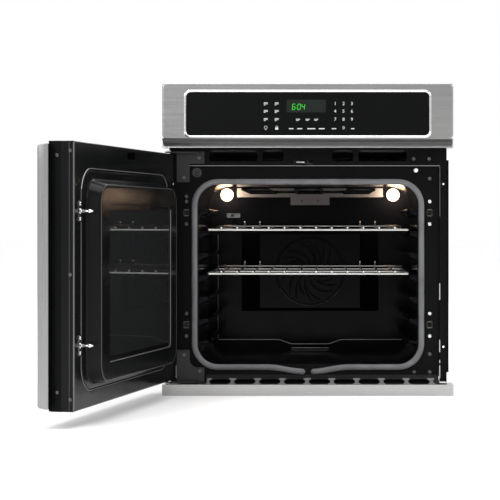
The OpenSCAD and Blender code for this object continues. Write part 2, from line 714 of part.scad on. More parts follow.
module control_panel() color("silver") difference() {
    intersection() {
        panel_form(0);
        box([-500, -500, panel_z0], [500, 500, 1000]);
    }
    intersection() {
        panel_form(sheet);
        box([-500, -500, panel_z0 + sheet], [500, 500, 1000]);
    }
    box([-half_frame - 0.5, border_y - 0.5, panel_z0 - 5], [half_frame + 0.5, panel_back + 1, panel_z0 + 0.5]);
    wall_y(panel_y - 5, panel_y + 5) rounded([-glass_x - 0.6, glass_z[0] - 0.6], [glass_x + 0.6, glass_z[1] + 0.6], glass_r + 0.6);
}

module control_glass() color("#0c0d0e")
    wall_y(panel_y - 0.6, panel_y + 3.4) rounded([-glass_x, glass_z[0]], [glass_x, glass_z[1]], glass_r);

module display_module() color("#1f3a1f") wall_y(panel_y + 3.6, panel_y + 10) rect([-46, 676], [44, 704]);

module control_board() color("darkgreen") {
    wall_y(panel_y + 12, panel_y + 13.6) rect([-190, 622], [190, 706]);
    for (x = [-150, -100, 90, 150]) box([x - 12, panel_y + 13.6, 640], [x + 12, panel_y + 28, 664]);
    box([-40, panel_y + 10.1, 678], [38, panel_y + 12, 702]);
}

// Plastic tray that holds the board behind the glass
module control_housing() color("#303234") difference() {
    box([-200, panel_y + 3.6, 616], [200, panel_y + 44, 712]);
    box([-198, panel_y + 3, 618], [198, panel_y + 42, 710]);
}

// Door lock ----------------------------------------------------------------------------------

module lock_housing() color("lightgray") {
    box([-50, 4, 543.6], [14, 110, 545.4]);
    rod_z(545.4, hook_z + 6, hook_pivot[0], hook_pivot[1], 4);
    box([-50, 96, 545.4], [14, 98, 572]);
    rod_z(hook_z + hook_t / 2 + 2.5, hook_z + 24, hook_pivot[0] + 20, hook_pivot[1] + 8, 14);
    box([-4, hook_pivot[1] + 20, 545.4], [4, 96, hook_z + 20]);
}

// Flat hook that reaches through the frame into the slot of the door liner
module lock_hook() color("gainsboro") difference() {
    slab_z(hook_z - hook_t / 2, hook_z + hook_t / 2) {
        rect([-27, -26], [-15, hook_pivot[1]]);
        polygon([[-15, -26], [-8, -22], [-7, -17], [-15, -17]]);
        translate([hook_pivot[0], hook_pivot[1]]) circle(11);
    }
    rod_z(hook_z - 5, hook_z + 5, hook_pivot[0], hook_pivot[1], 4 + running);
}

// Door switch --------------------------------------------------------------------------------

module door_switch() color("#2c2c30") difference() {
    box([switch_x - 14, frame_t, switch_z - 9], [switch_x + 14, 34, switch_z + 9]);
    rod_y(0, 30, switch_x, switch_z, plunger_r + 0.4);
}

module switch_plunger() color("white") {
    rod_y(-plunger_out + 3, 18, switch_x, switch_z, plunger_r);
    translate([switch_x, -plunger_out + 3, switch_z]) rotate([90, 0, 0]) cylinder(r1 = plunger_r, r2 = plunger_r - 2, h = 3);
}

module switch_blank() color("#3a3b3d") {
    rod_y(0, 8, blank_x, blank_z, plunger_r + 0.6);
    rod_y(-1.5, 0, blank_x, blank_z, 12);
    rod_y(-3, -1.5, blank_x, blank_z, 10);
}

// Hinges -------------------------------------------------------------------------------------

bracket_y = [-11, -8];   // plane of the bracket plates
bracket_x = [-313, -247];
bracket_leg = 31;        // width of the upright leg
shelf_t = 3;

// Outline in X and Y of the shelf that reaches round the frame border to the hinge axis
module shelf_outline() {
    translate([pivot[0], pivot[1]]) circle(ear_r);
    polygon([[pivot[0], pivot[1] - ear_r], [-270, pivot[1] - ear_r], [-262, pivot[1] - 2], [-262, bracket_y[0]], [bracket_x[0], bracket_y[0]],
             [pivot[0], pivot[1] + ear_r]]);
}

module upper_hinge_bracket() color("#333537") difference() {
    union() {
        wall_y(bracket_y[0], bracket_y[1]) {
            rect([bracket_x[0], 548], [bracket_x[1], 577]);
            rect([bracket_x[0], 504], [bracket_x[0] + bracket_leg, 548]);
        }
        slab_z(573, 573 + shelf_t) shelf_outline();
        box([bracket_x[0] + 2, bracket_y[1], 506], [bracket_x[0] + bracket_leg, 0, 524]);
    }
    rod_z(560, 590, pivot[0], pivot[1], pin_r + seat);
    for (p = [bracket_screw_at[0], bracket_screw_at[1]]) rod_y(-20, 10, p[0], p[1], 1.9);
}

module lower_hinge_bracket() color("#333537") difference() {
    union() {
        wall_y(bracket_y[0], bracket_y[1]) {
            rect([bracket_x[0], 27.2], [bracket_x[1], 62]);
            rect([bracket_x[0], 62], [bracket_x[0] + bracket_leg, 104]);
            difference() {
                rect([bracket_x[0] + bracket_leg, 62], [bracket_x[0] + bracket_leg + 20, 82]);
                translate([bracket_x[0] + bracket_leg + 20, 82]) circle(20);
            }
        }
        slab_z(27.2, 27.2 + shelf_t) shelf_outline();
        box([bracket_x[0] + 2, bracket_y[1], 82], [bracket_x[0] + bracket_leg, 0, 102]);
        box([bracket_x[0] + 2, bracket_y[1], 44], [bracket_x[1] - 2, 0, 60]);
    }
    rod_z(0, 60, pivot[0], pivot[1], pin_r + seat);
    for (p = [bracket_screw_at[2], bracket_screw_at[3]]) rod_y(-20, 10, p[0], p[1], 1.9);
}

// Upper pin with a head over its shelf, lower pin with a collar that carries the door
module hinge_pins() color("gainsboro") {
    rod_z(557, 576, pivot[0], pivot[1], pin_r);
    rod_z(576, 578.5, pivot[0], pivot[1], pin_r + 2.5);
    rod_z(27.2, 44, pivot[0], pivot[1], pin_r);
    rod_z(30.2, door_z0 - 0.1, pivot[0], pivot[1], pin_r + 3);
}

// Catches ------------------------------------------------------------------------------------

// Spring clip behind the face frame: a plate with two leaves that grip a strike pin
module catch_clip(x, z) {
    difference() {
        wall_y(frame_t, frame_t + 1.2) rounded([x - 7, z - 33], [x + 7, z + 33], 3);
        wall_y(0, 10) rounded([x - 5.8, z - 7], [x + 5.8, z + 7], 1.5);
        for (dz = [-catch_screw, catch_screw]) rod_y(0, 10, x, z + dz, 1.9);
    }
    for (s = [-1, 1])
        bar_x(x - 5, x + 5)
            polygon([[3.2, z + s * 7], [8, z + s * 4.4], [13, z + s * 6.4], [22, z + s * 7.5], [22, z + s * 8.7], [13, z + s * 7.6],
                     [8, z + s * 5.8], [3.2, z + s * 8.4]]);
}

module catch_clips() color("gainsboro") for (x = [-catch_x, catch_x], z = catch_z) catch_clip(x, z);

module frame_screws() color("gainsboro") {
    for (x = [-catch_x, catch_x], z = catch_z, dz = [-catch_screw, catch_screw]) screw_y(x, 0, z + dz);
    for (p = frame_screw_at) screw_y(p[0], 0, p[1]);
    for (p = border_screw_at) screw_y(p[0], border_y, p[1]);
    for (p = bracket_screw_at) screw_y(p[0], bracket_y[0], p[1], 4.2, 0.8, 16);
}

// Door ---------------------------------------------------------------------------------------

skin_z0 = door_z0 + skin_inset;
skin_z1 = door_z1 - skin_inset;

// Stainless outer skin: a tray whose top and bottom lean in towards the front
module door_skin() color("silver") on_door() {
    difference() {
        skin_form(0);
        skin_form(skin_t);
        wall_y(skin_y0 - 5, skin_y0 + 5)
            rounded([-outer_window_x, outer_window_z0], [outer_window_x, outer_window_z1], 10);
        for (x = [-post_x, post_x]) rod_y(skin_y0 - 5, skin_y0 + 5, x, handle_z, 3.2);
    }
    both_sides() box([half_w - skin_t, skin_y1 - 0.4, skin_z0 + 0.5], [half_w, skin_back, skin_z1 - 0.5]);
}

skin_lean = 3.5;
skin_back = -58.3;      // free edge of the skin's deeper sides

module skin_form(inset) {
    intersection() {
        bar_x(-half_w + inset, half_w - inset)
            polygon([[skin_y0 + inset, skin_z0 + skin_lean + inset], [skin_y1 + 0.01, skin_z0 + inset], [skin_y1 + 0.01, skin_z1 - inset],
                     [skin_y0 + inset, skin_z1 - skin_lean - inset]]);
        wall_y(skin_y0 + inset, skin_y1 + (inset > 0 ? 1 : 0))
            rect([-half_w, 0], [half_w, face_h]);
    }
}

module door_outer_glass() color("#101214", 0.6) on_door()
    wall_y(skin_y0 + skin_t + 0.3, skin_y0 + skin_t + 4.3)
        rounded([-outer_window_x - 22, outer_window_z0 - 24], [outer_window_x + 22, outer_window_z1 + 24], 12);

// Black frame between the skin and the liner that closes the door's edge
module door_frame() color("#202122") on_door() {
    wall_y(skin_y1 + 0.2, door_mid_y + 0.2)
        difference() {
            rect([-half_liner - 4, door_z0 + 1], [half_liner + 4, door_z1]);
            rounded([-270, 76], [270, 506], 20);
        }
    difference() {
        wall_y(door_mid_y + 0.2, -38) difference() {
            rect([-half_liner, door_z0], [half_liner, door_z1]);
            rect([-half_liner + 1.6, door_z0 + 1.6], [half_liner - 1.6, door_z1 - 1.6]);
        }
        for (z = door_screw_z) rod_x(half_liner - 5, half_liner + 5, -46.8, z, 1.7);
    }
    both_sides() box([266, skin_y1 + 0.2, 60], [276, -50, 520]);
}

door_screw_z = [72.5, 541.4];

lock_slot_x = [-47, 6];
lock_slot_z = [545, 561];

// Enamelled inner face of the door with its raised window plug
module door_liner() color("#17181a") on_door() difference() {
    union() {
        difference() {
            wall_y(-38, liner_y) rect([-half_liner, door_z0], [half_liner, door_z1]);
            wall_y(-39, liner_y - liner_t) rect([-half_liner + liner_t, door_z0 + liner_t], [half_liner - liner_t, door_z1 - liner_t]);
            wall_y(-20, 0) rounded([-plug_x + liner_t, plug_z0 + liner_t], [plug_x - liner_t, plug_z1 - liner_t], plug_r - liner_t);
        }
        difference() {
            wall_y(liner_y - liner_t, plug_y) rounded([-plug_x, plug_z0], [plug_x, plug_z1], plug_r);
            wall_y(liner_y - 5, plug_y - liner_t)
                rounded([-plug_x + liner_t, plug_z0 + liner_t], [plug_x - liner_t, plug_z1 - liner_t], plug_r - liner_t);
        }
        wall_y(liner_y, liner_y + 0.4) ring([-284.5, 68], [284.5, 517.5], 55, 5);
    }
    wall_y(plug_y - 5, plug_y + 5) rounded([-window_x, window_z0], [window_x, window_z1], window_r);
    wall_y(liner_y - 5, liner_y + 5) rounded([lock_slot_x[0], lock_slot_z[0]], [lock_slot_x[1], lock_slot_z[1]], 2);
    for (z = catch_z, dz = [-15, 15]) rod_y(liner_y - 5, liner_y + 5, catch_x, z + dz, 1.6);
    for (z = [58.8, 305.1, 550.5]) rod_x(half_liner - 5, half_liner + 5, -19.5, z, 1.7);
}

module door_inner_glass() color("#303438", 0.35) on_door()
    wall_y(plug_y - liner_t - 4.3, plug_y - liner_t - 0.3)
        rounded([-window_x - 16, window_z0 - 16], [window_x + 16, window_z1 + 16], 16);

// Two middle panes in a sheet frame
module door_middle_glass() color("#303438", 0.35) on_door() {
    for (y = [-46, -26]) wall_y(y, y + 4) rounded([-236, 104], [236, 472], 8);
}

module door_insulation() color("#d8cf9a") on_door() difference() {
    wall_y(-60, liner_y - liner_t - 0.5) rect([-322.5, door_z0 + 2.5], [322.5, door_z1 - 2.5]);
    wall_y(-70, 0) rounded([-272, 74], [272, 508], 20);
    for (z = catch_z) box([catch_x - 12, -30, z - 26], [catch_x + 12, 0, z + 26]);
    box([lock_slot_x[0] - 6, -34, lock_slot_z[0] - 8], [lock_slot_x[1] + 12, 0, lock_slot_z[1] + 8]);
    for (z = [58.8, 305.1, 550.5]) rod_x(310, 330, -19.5, z, 3);
    for (z = door_screw_z) rod_x(310, 330, -46.8, z, 3);
    both_sides() box([265, -61, 59], [277, -49.5, 521]);
    box([-322.5 - 1, -55, 500], [-312, -14, door_z1]);
    box([-322.5 - 1, -55, door_z0], [-312, -14, 100]);
}

handle_z = 528;
handle_y = -118;       // centre line of the handle bar
handle_half = 212;
handle_r = 8.5;
post_x = 180;

module handle_bar() color("silver") on_door() {
    rod_x(-handle_half + handle_r, handle_half - handle_r, handle_y, handle_z, handle_r);
    for (s = [-1, 1]) translate([s * (handle_half - handle_r), handle_y, handle_z]) sphere(r = handle_r);
}

module handle_posts() color("silver") on_door() for (x = [-post_x, post_x]) difference() {
    rod_y(handle_y + 4, skin_y0, x, handle_z, 7);
    rod_x(x - 12, x + 12, handle_y, handle_z, handle_r + 0.02);
    rod_y(skin_y0 - 14, skin_y0 + 1, x, handle_z, 2.5);
}

// Plates on the hinge side of the door, each with an ear that turns on its pin
module door_hinge_plates() color("#3a3c3e") on_door() difference() {
    union() {
        for (z = [[560, 566], [door_z0, 40]])
            slab_z(z[0], z[1]) {
                intersection() {
                    translate([pivot[0], pivot[1]]) circle(ear_r);
                    rect([pivot[0] - 20, pivot[1] - 20], [-half_liner, pivot[1] + 20]);
                }
                rect([pivot[0], pivot[1] - ear_r], [-half_liner, pivot[1] + ear_r]);
            }
        box([-half_liner - 2, -52, 508], [-half_liner, -16.3, 560]);
        box([-half_liner - 2, -52, 40], [-half_liner, -16.3, 92]);
    }
    rod_z(0, 600, pivot[0], pivot[1], pin_r + running);
}

// Strike pins on the free edge of the liner: a plate with two rivets and an arrow-headed pin
module strike_pins() color("white") on_door() for (z = catch_z) {
    difference() {
        wall_y(liner_y, liner_y + 1.6) rounded([catch_x - 6, z - 21], [catch_x + 6, z + 21], 4);
        for (dz = [-15, 15]) rod_y(liner_y - 5, liner_y + 5, catch_x, z + dz, 1.6);
    }
    translate([catch_x, liner_y + 1.6, z]) rotate([-90, 0, 0]) {
        cylinder(r = 5.5, h = 2);
        cylinder(r = 2.6, h = 18);
        translate([0, 0, 16]) cylinder(r1 = 2.8, r2 = 4, h = 2.4);
        translate([0, 0, 18.4]) cylinder(r1 = 4, r2 = 1, h = strike_len - 20);
    }
    for (dz = [-15, 15]) {
        rod_y(liner_y + 1.6, liner_y + 3.4, catch_x, z + dz, 3.4);
        rod_y(liner_y - 6, liner_y + 1.6, catch_x, z + dz, 1.5);
    }
}

module door_screws() color("gainsboro") on_door() {
    for (z = [58.8, 305.1, 550.5]) {
        rod_x(half_liner, half_liner + 2, -19.5, z, 3.8);
        rod_x(half_liner - 8, half_liner, -19.5, z, 1.5);
    }
    for (z = door_screw_z) {
        rod_x(half_liner, half_liner + 2, -46.8, z, 3.8);
        rod_x(half_liner - 8, half_liner, -46.8, z, 1.5);
    }
    for (x = [-post_x, post_x]) {
        rod_y(skin_y0 - 12, skin_y0 + skin_t, x, handle_z, 2.4);
        rod_y(skin_y0 + skin_t, skin_y0 + skin_t + 3, x, handle_z, 5);
    }
}

base_pan();
left_side_panel();
right_side_panel();
top_cover();
rear_cover();
conduit_connector();
mounting_rails();
face_frame();
bottom_trim();
bottom_vent_strip();
cavity_wrap();
cavity_back();
floor_panel();
cavity_insulation();
rear_insulation();
bake_element();
broil_element();
broil_bracket();
fan_shroud();
convection_element();
convection_fan();
convection_motor();
lamp_lenses();
lamp_bulbs();
lamp_housings();
temperature_probe();
upper_rack();
lower_rack();
door_gasket();
air_ducts();
blower_housing();
blower_wheel();
blower_motor();
control_panel();
control_glass();
display_module();
control_board();
control_housing();
lock_housing();
lock_hook();
door_switch();
switch_plunger();
switch_blank();
upper_hinge_bracket();
lower_hinge_bracket();
hinge_pins();
catch_clips();
frame_screws();
door_skin();
door_outer_glass();
door_frame();
door_liner();
door_middle_glass();
door_inner_glass();
door_insulation();
handle_bar();
handle_posts();
door_hinge_plates();
strike_pins();
door_screws();
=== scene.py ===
"""Built-in wall oven with a side-swing door: surfaces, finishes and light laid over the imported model."""
import math

import bmesh
import bpy
import numpy as np
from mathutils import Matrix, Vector


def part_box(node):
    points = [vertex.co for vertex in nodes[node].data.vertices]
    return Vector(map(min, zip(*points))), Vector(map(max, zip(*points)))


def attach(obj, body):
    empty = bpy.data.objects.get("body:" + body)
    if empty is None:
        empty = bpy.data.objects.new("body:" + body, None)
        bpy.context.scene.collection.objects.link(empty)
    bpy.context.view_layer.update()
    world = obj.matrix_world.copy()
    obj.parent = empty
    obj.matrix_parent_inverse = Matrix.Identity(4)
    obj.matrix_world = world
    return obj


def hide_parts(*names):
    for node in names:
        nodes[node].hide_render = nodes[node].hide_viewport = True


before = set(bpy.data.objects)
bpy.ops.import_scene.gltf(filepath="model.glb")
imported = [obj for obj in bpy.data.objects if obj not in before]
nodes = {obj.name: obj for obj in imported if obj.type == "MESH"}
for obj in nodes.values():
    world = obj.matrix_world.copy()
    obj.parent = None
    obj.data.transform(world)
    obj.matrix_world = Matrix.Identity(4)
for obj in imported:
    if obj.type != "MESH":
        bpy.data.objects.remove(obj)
bpy.context.scene.view_settings.view_transform = "Standard"
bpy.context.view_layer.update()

MM = 0.001
PIVOT = np.array([-0.3304, -0.0253])
OPEN = math.radians(102.0)
FAN_Z = 278.0
DOOR_FACE_Y = -12
STEP_Y = -6.9

# ------------------------------------------------------------------ camera

eye = bpy.data.cameras.new("eye")
eye.sensor_width = 36.0
eye.lens = 114.56
eye.shift_x = -0.1542
eye.shift_y = -0.0578
eye.clip_end = 60.0
eye_obj = bpy.data.objects.new("eye", eye)
eye_obj.location = (0.0457, -3.8053, 0.4111)
eye_obj.rotation_euler = (math.pi / 2, 0.0, 0.0)
bpy.context.scene.collection.objects.link(eye_obj)
bpy.context.scene.camera = eye_obj


# ------------------------------------------------------------------ surfaces


def opened(p):
    """Turns points of the closed door about the hinge pins to where the open door has them."""
    p = np.asarray(p, float).copy()
    dx, dy = p[..., 0] - PIVOT[0], p[..., 1] - PIVOT[1]
    c, s = math.cos(OPEN), math.sin(OPEN)
    p[..., 0] = PIVOT[0] + dx * c + dy * s
    p[..., 1] = PIVOT[1] - dx * s + dy * c
    return p


def patch(p, wrap_u=False, wrap_v=False, flip=False):
    """Vertices and quads of a grid p[u, v]: each quad joins four neighbours, and wraps where asked."""
    nu, nv = p.shape[:2]
    iu = np.arange(nu if wrap_u else nu - 1)
    iv = np.arange(nv if wrap_v else nv - 1)
    a, b = np.meshgrid(iu, iv, indexing="ij")
    a2, b2 = (a + 1) % nu, (b + 1) % nv
    q = np.stack([a * nv + b, a2 * nv + b, a2 * nv + b2, a * nv + b2], -1).reshape(-1, 4)
    if flip:
        q = q[:, ::-1]
    return p.reshape(-1, 3), q


def fan_cap(ring, flip=False):
    """Closes a ring of points with triangles to its middle."""
    n = len(ring)
    i = np.arange(n)
    t = np.stack([i, (i + 1) % n, np.full(n, n)], -1)
    if flip:
        t = t[:, ::-1]
    return np.vstack([ring, ring.mean(0)]), t


def piece(name, parts, material, body, smooth=60.0, replaces=(), slot=None):
    """One mesh object from a list of (vertices, faces); faces flatter than the angle are shaded smooth."""
    verts, faces, n = [], [], 0
    for v, f in parts:
        verts.append(v)
        faces.extend((f + n).tolist())
        n += len(v)
    mesh = bpy.data.meshes.new(name)
    mesh.from_pydata(np.vstack(verts).tolist(), [], faces)
    mesh.update()
    obj = bpy.data.objects.new(name, mesh)
    bpy.context.scene.collection.objects.link(obj)
    mesh.materials.append(material)
    if smooth:
        mesh.shade_smooth()
        mesh.set_sharp_from_angle(angle=math.radians(smooth))
    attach(obj, body)
    if replaces:
        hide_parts(*replaces)
    return obj


def frames_along(path, closed=False):
    """Tangents and two normals carried along a path with little twist: each normal is the last one, made
    square to the new tangent.
    """
    t = np.gradient(path, axis=0)
    if closed:
        t = np.roll(path, -1, 0) - np.roll(path, 1, 0)
    t /= np.linalg.norm(t, axis=1)[:, None]
    n = np.zeros_like(t)
    start = np.array([0, 0, 1.0]) if abs(t[0, 2]) < 0.9 else np.array([0, 1.0, 0])
    n[0] = start - t[0] * start.dot(t[0])
    n[0] /= np.linalg.norm(n[0])
    for i in range(1, len(path)):
        v = n[i - 1] - t[i] * n[i - 1].dot(t[i])
        n[i] = v / np.linalg.norm(v)
    return t, n, np.cross(t, n)


def wire(path, r, sides=12, closed=False):
    """Round wire: a circle of radius r carried along the path; open ends close in a half ball."""
    path = np.asarray(path, float)
    t, n, b = frames_along(path, closed)
    a = np.linspace(0, 2 * np.pi, sides, endpoint=False)
    radius = np.full(len(path), float(r))
    if not closed:
        k = np.linspace(0, np.pi / 2, 5)[:-1]
        lead = path[0] - np.outer(np.cos(k), t[0]) * r * 0.9
        tail = path[-1] + np.outer(np.cos(k[::-1]), t[-1]) * r * 0.9
        path = np.vstack([lead, path, tail])
        radius = np.concatenate([np.sin(k) * r, radius, np.sin(k[::-1]) * r])
        radius[0] = radius[-1] = r * 0.02
        n = np.vstack([np.repeat(n[:1], 4, 0), n, np.repeat(n[-1:], 4, 0)])
        b = np.vstack([np.repeat(b[:1], 4, 0), b, np.repeat(b[-1:], 4, 0)])
    ring = np.cos(a)[None, :, None] * n[:, None, :] + np.sin(a)[None, :, None] * b[:, None, :]
    p = path[:, None, :] + ring * radius[:, None, None]
    out = [patch(p, wrap_u=closed, wrap_v=True, flip=True)]
    if not closed:
        out += [fan_cap(p[0], flip=True), fan_cap(p[-1])]
    return out


def rounded_outline(x0, x1, z0, z1, r, side=8, arc=10):
    """Closed outline of a rectangle with round corners; the same number of points whatever the size."""
    r = max(r, 1e-5)
    k = np.linspace(0, np.pi / 2, arc)
    s = np.linspace(0, 1, side + 2)[1:-1]
    pts = []
    corners = [(x1 - r, z1 - r, 0), (x0 + r, z1 - r, np.pi / 2), (x0 + r, z0 + r, np.pi),
               (x1 - r, z0 + r, 1.5 * np.pi)]
    for i, (cx, cz, a) in enumerate(corners):
        arc_pts = np.stack([cx + r * np.cos(a + k), cz + r * np.sin(a + k)], -1)
        nx, nz, na = corners[(i + 1) % 4]
        after = np.array([nx + r * np.cos(na), nz + r * np.sin(na)])
        run = arc_pts[-1] + s[:, None] * (after - arc_pts[-1])
        pts += [arc_pts, run]
    return np.vstack(pts)


def pressed(stations, side=8, arc=10):
    """Pressed sheet: rounded outlines joined one to the next, each (x0, x1, z0, z1, r, y),
    or (half width, z0, z1, r, y) where both sides are alike."""
    rings = []
    for station in stations:
        x0, x1, z0, z1, r, y = station if len(station) == 6 else (-station[0],) + station
        o = rounded_outline(x0, x1, z0, z1, r, side, arc)
        rings.append(np.stack([o[:, 0], np.full(len(o), y), o[:, 1]], -1))
    return np.array(rings) * MM


def lathe(profile, centre, axis="y", sides=48):
    """Turned shape: a profile of (radius, height) swept about the axis through centre."""
    profile = np.asarray(profile, float)
    a = np.linspace(0, 2 * np.pi, sides, endpoint=False)
    r, h = profile[:, 0][:, None], profile[:, 1][:, None] * np.ones(sides)
    c, s = r * np.cos(a), r * np.sin(a)
    p = {"y": [c, h, s], "z": [c, s, h], "x": [h, c, s]}[axis]
    return (np.stack(p, -1) + np.asarray(centre, float)) * MM


# ------------------------------------------------------------------ finishes


def group(name, inputs, outputs):
    """Empty shader node group with named sockets."""
    g = bpy.data.node_groups.new(name, "ShaderNodeTree")
    for kind, label, value in inputs:
        s = g.interface.new_socket(label, in_out="INPUT", socket_type=kind)
        if value is not None:
            s.default_value = value
    for kind, label in outputs:
        g.interface.new_socket(label, in_out="OUTPUT", socket_type=kind)
    return g, g.nodes.new("NodeGroupInput"), g.nodes.new("NodeGroupOutput")


class Net:
    """Short way to add nodes to a tree and to link them."""

    def __init__(self, tree):
        self.t = tree

    def add(self, kind, **values):
        """Adds a shader node of a kind and sets its properties."""
        n = self.t.nodes.new("ShaderNode" + kind)
        for key, v in values.items():
            if hasattr(n, key):
                setattr(n, key, v)
        return n

    def link(self, a, b):
        """Joins an output to an input."""
        self.t.links.new(a, b)

    def math(self, op, a, b=None, clamp=False):
        """One sum of two sockets or numbers."""
        n = self.add("Math", operation=op, use_clamp=clamp)
        for i, v in enumerate((a, b)):
            if v is None:
                continue
            if isinstance(v, (int, float)):
                n.inputs[i].default_value = v
            else:
                self.link(v, n.inputs[i])
        return n.outputs[0]

    def spread(self, value, low, high, to_low, to_high):
        """Carries a value from one range to another, in a straight line."""
        n = self.add("MapRange")
        self.link(value, n.inputs["Value"])
        for key, v in (("From Min", low), ("From Max", high), ("To Min", to_low), ("To Max", to_high)):
            if isinstance(v, (int, float)):
                n.inputs[key].default_value = v
            else:
                self.link(v, n.inputs[key])
        return n.outputs["Result"]

    def noise(self, vector, scale, detail=4.0, rough=0.5, stretch=None):
        """Noise at a point, stretched along the axes where asked."""
        if stretch is not None:
            m = self.add("Mapping")
            m.inputs["Scale"].default_value = stretch
            self.link(vector, m.inputs["Vector"])
            vector = m.outputs["Vector"]
        n = self.add("TexNoise")
        n.inputs["Scale"].default_value = scale
        n.inputs["Detail"].default_value = detail
        n.inputs["Roughness"].default_value = rough
        self.link(vector, n.inputs["Vector"])
        return n.outputs["Fac"]

    def mix(self, fac, a, b):
        """Mixes two colours, each a socket or a tuple."""
        n = self.add("Mix", data_type="RGBA")
        for sock, v in ((n.inputs[0], fac), (n.inputs[6], a), (n.inputs[7], b)):
            if isinstance(v, (int, float, tuple)):
                sock.default_value = v
            else:
                self.link(v, sock)
        return n.outputs[2]


def brushed_group():
    """Fine parallel scratches: noise stretched along one axis, with slow smudges over it."""
    g, i, o = group("brushed_lines",
                    [("NodeSocketVector", "Point", None), ("NodeSocketFloat", "Depth", 1.0)],
                    [("NodeSocketFloat", "Line"), ("NodeSocketFloat", "Smudge")])
    w = Net(g)
    fine = w.noise(i.outputs["Point"], 900.0, 3.0, 0.6)
    broad = w.noise(i.outputs["Point"], 240.0, 2.0, 0.5)
    line = w.math("ADD", w.math("MULTIPLY", fine, 0.6), w.math("MULTIPLY", broad, 0.4))
    line = w.math("MULTIPLY", w.math("SUBTRACT", line, 0.5), i.outputs["Depth"])
    w.link(line, o.inputs["Line"])
    w.link(w.noise(i.outputs["Point"], 6.0, 3.0, 0.5), o.inputs["Smudge"])
    return g


def enamel_group():
    """Porcelain enamel: tiny light specks, an orange-peel skin and slow wear in the gloss."""
    g, i, o = group("enamel_skin",
                    [("NodeSocketVector", "Point", None), ("NodeSocketFloat", "Speck size", 700.0)],
                    [("NodeSocketFloat", "Speck"), ("NodeSocketFloat", "Peel"), ("NodeSocketFloat", "Haze")])
    w = Net(g)
    v = w.add("TexVoronoi")
    w.link(i.outputs["Point"], v.inputs["Vector"])
    w.link(i.outputs["Speck size"], v.inputs["Scale"])
    near = w.spread(v.outputs["Distance"], 0.05, 0.16, 1.0, 0.0)
    sep = w.add("SeparateColor")
    w.link(v.outputs["Color"], sep.inputs[0])
    some = w.math("GREATER_THAN", sep.outputs[0], 0.86)
    w.link(w.math("MULTIPLY", near, some, clamp=True), o.inputs["Speck"])
    w.link(w.noise(i.outputs["Point"], 160.0, 2.0, 0.5), o.inputs["Peel"])
    w.link(w.noise(i.outputs["Point"], 9.0, 4.0, 0.6), o.inputs["Haze"])
    return g


def dust_group():
    """Faint uneven film: soft cloudy noise with fine grain, from 0 to 1."""
    g, i, o = group("light_film", [("NodeSocketVector", "Point", None), ("NodeSocketFloat", "Scale", 5.0)],
                    [("NodeSocketFloat", "Film"), ("NodeSocketFloat", "Grain")])
    w = Net(g)
    n = w.add("TexNoise")
    w.link(i.outputs["Point"], n.inputs["Vector"])
    w.link(i.outputs["Scale"], n.inputs["Scale"])
    n.inputs["Detail"].default_value = 5.0
    w.link(w.spread(n.outputs["Fac"], 0.35, 0.7, 0.0, 1.0), o.inputs["Film"])
    w.link(w.noise(i.outputs["Point"], 1100.0, 2.0, 0.5), o.inputs["Grain"])
    return g


BRUSHED, ENAMEL, FILM = brushed_group(), enamel_group(), dust_group()


def start(name):
    """New material with its Principled shader, a Net and the Object coordinates."""
    m = bpy.data.materials.new(name)
    m.use_nodes = True
    w = Net(m.node_tree)
    shader = m.node_tree.nodes["Principled BSDF"]
    point = w.add("TexCoord").outputs["Object"]
    return m, w, shader, point


def use(w, tree, point, **values):
    """Places a node group in a material, fed with the point, with its own values."""
    n = w.t.nodes.new("ShaderNodeGroup")
    n.node_tree = tree
    w.link(point, n.inputs["Point"])
    for k, v in values.items():
        n.inputs[k.replace("_", " ")].default_value = v
    return n


def set_values(shader, **values):
    """Sets the shader's own sockets."""
    for k, v in values.items():
        shader.inputs[k.replace("_", " ")].default_value = v


def bump(w, shader, height, strength, distance):
    """Turns a height into the shader's normal."""
    b = w.add("Bump")
    b.inputs["Strength"].default_value = strength
    b.inputs["Distance"].default_value = distance
    w.link(height, b.inputs["Height"])
    w.link(b.outputs["Normal"], shader.inputs["Normal"])


def stainless(name, grain=(0.012, 1.0, 1.0), tone=0.60, rough=0.30, turn=0.0):
    """Brushed stainless: long fine lines in tone, gloss and height, along the axis with the small scale."""
    m, w, s, point = start(name)
    mapping = w.add("Mapping")
    mapping.inputs["Rotation"].default_value = (0.0, 0.0, turn)
    mapping.vector_type = "TEXTURE"
    mapping.inputs["Scale"].default_value = tuple(1.0 / g for g in grain)
    w.link(point, mapping.inputs["Vector"])
    n = use(w, BRUSHED, mapping.outputs["Vector"])
    fac = w.math("ADD", n.outputs["Line"], 0.5, clamp=True)
    film = use(w, FILM, point, Scale=4.0)
    col = w.mix(fac, (tone * 0.86, tone * 0.86, tone * 0.855, 1), (tone * 1.14, tone * 1.14, tone * 1.13, 1))
    col = w.mix(w.math("MULTIPLY", film.outputs["Film"], 0.06), col, (tone * 0.8, tone * 0.8, tone * 0.8, 1))
    w.link(col, s.inputs["Base Color"])
    r = w.math("ADD", w.math("MULTIPLY", n.outputs["Line"], 0.22), rough)
    r = w.math("ADD", r, w.math("MULTIPLY", film.outputs["Film"], 0.05), clamp=True)
    w.link(r, s.inputs["Roughness"])
    set_values(s, Metallic=1.0)
    bump(w, s, n.outputs["Line"], 0.06, 0.0003)
    return m


def enamel(name, colour, speck, gloss=0.12, amount=0.5, peel=0.05, size=700.0, spec=0.2):
    """Glossy porcelain enamel with specks."""
    m, w, s, point = start(name)
    n = use(w, ENAMEL, point, Speck_size=size)
    col = w.mix(w.math("MULTIPLY", n.outputs["Speck"], amount), colour, speck)
    col = w.mix(w.math("MULTIPLY", n.outputs["Haze"], 0.25), col, tuple(c * 1.8 for c in colour[:3]) + (1,))
    w.link(col, s.inputs["Base Color"])
    w.link(w.spread(n.outputs["Haze"], 0.3, 0.7, gloss, gloss * 1.8), s.inputs["Roughness"])
    set_values(s, Specular_IOR_Level=spec, IOR=1.5)
    bump(w, s, n.outputs["Peel"], peel, 0.0006)
    return m


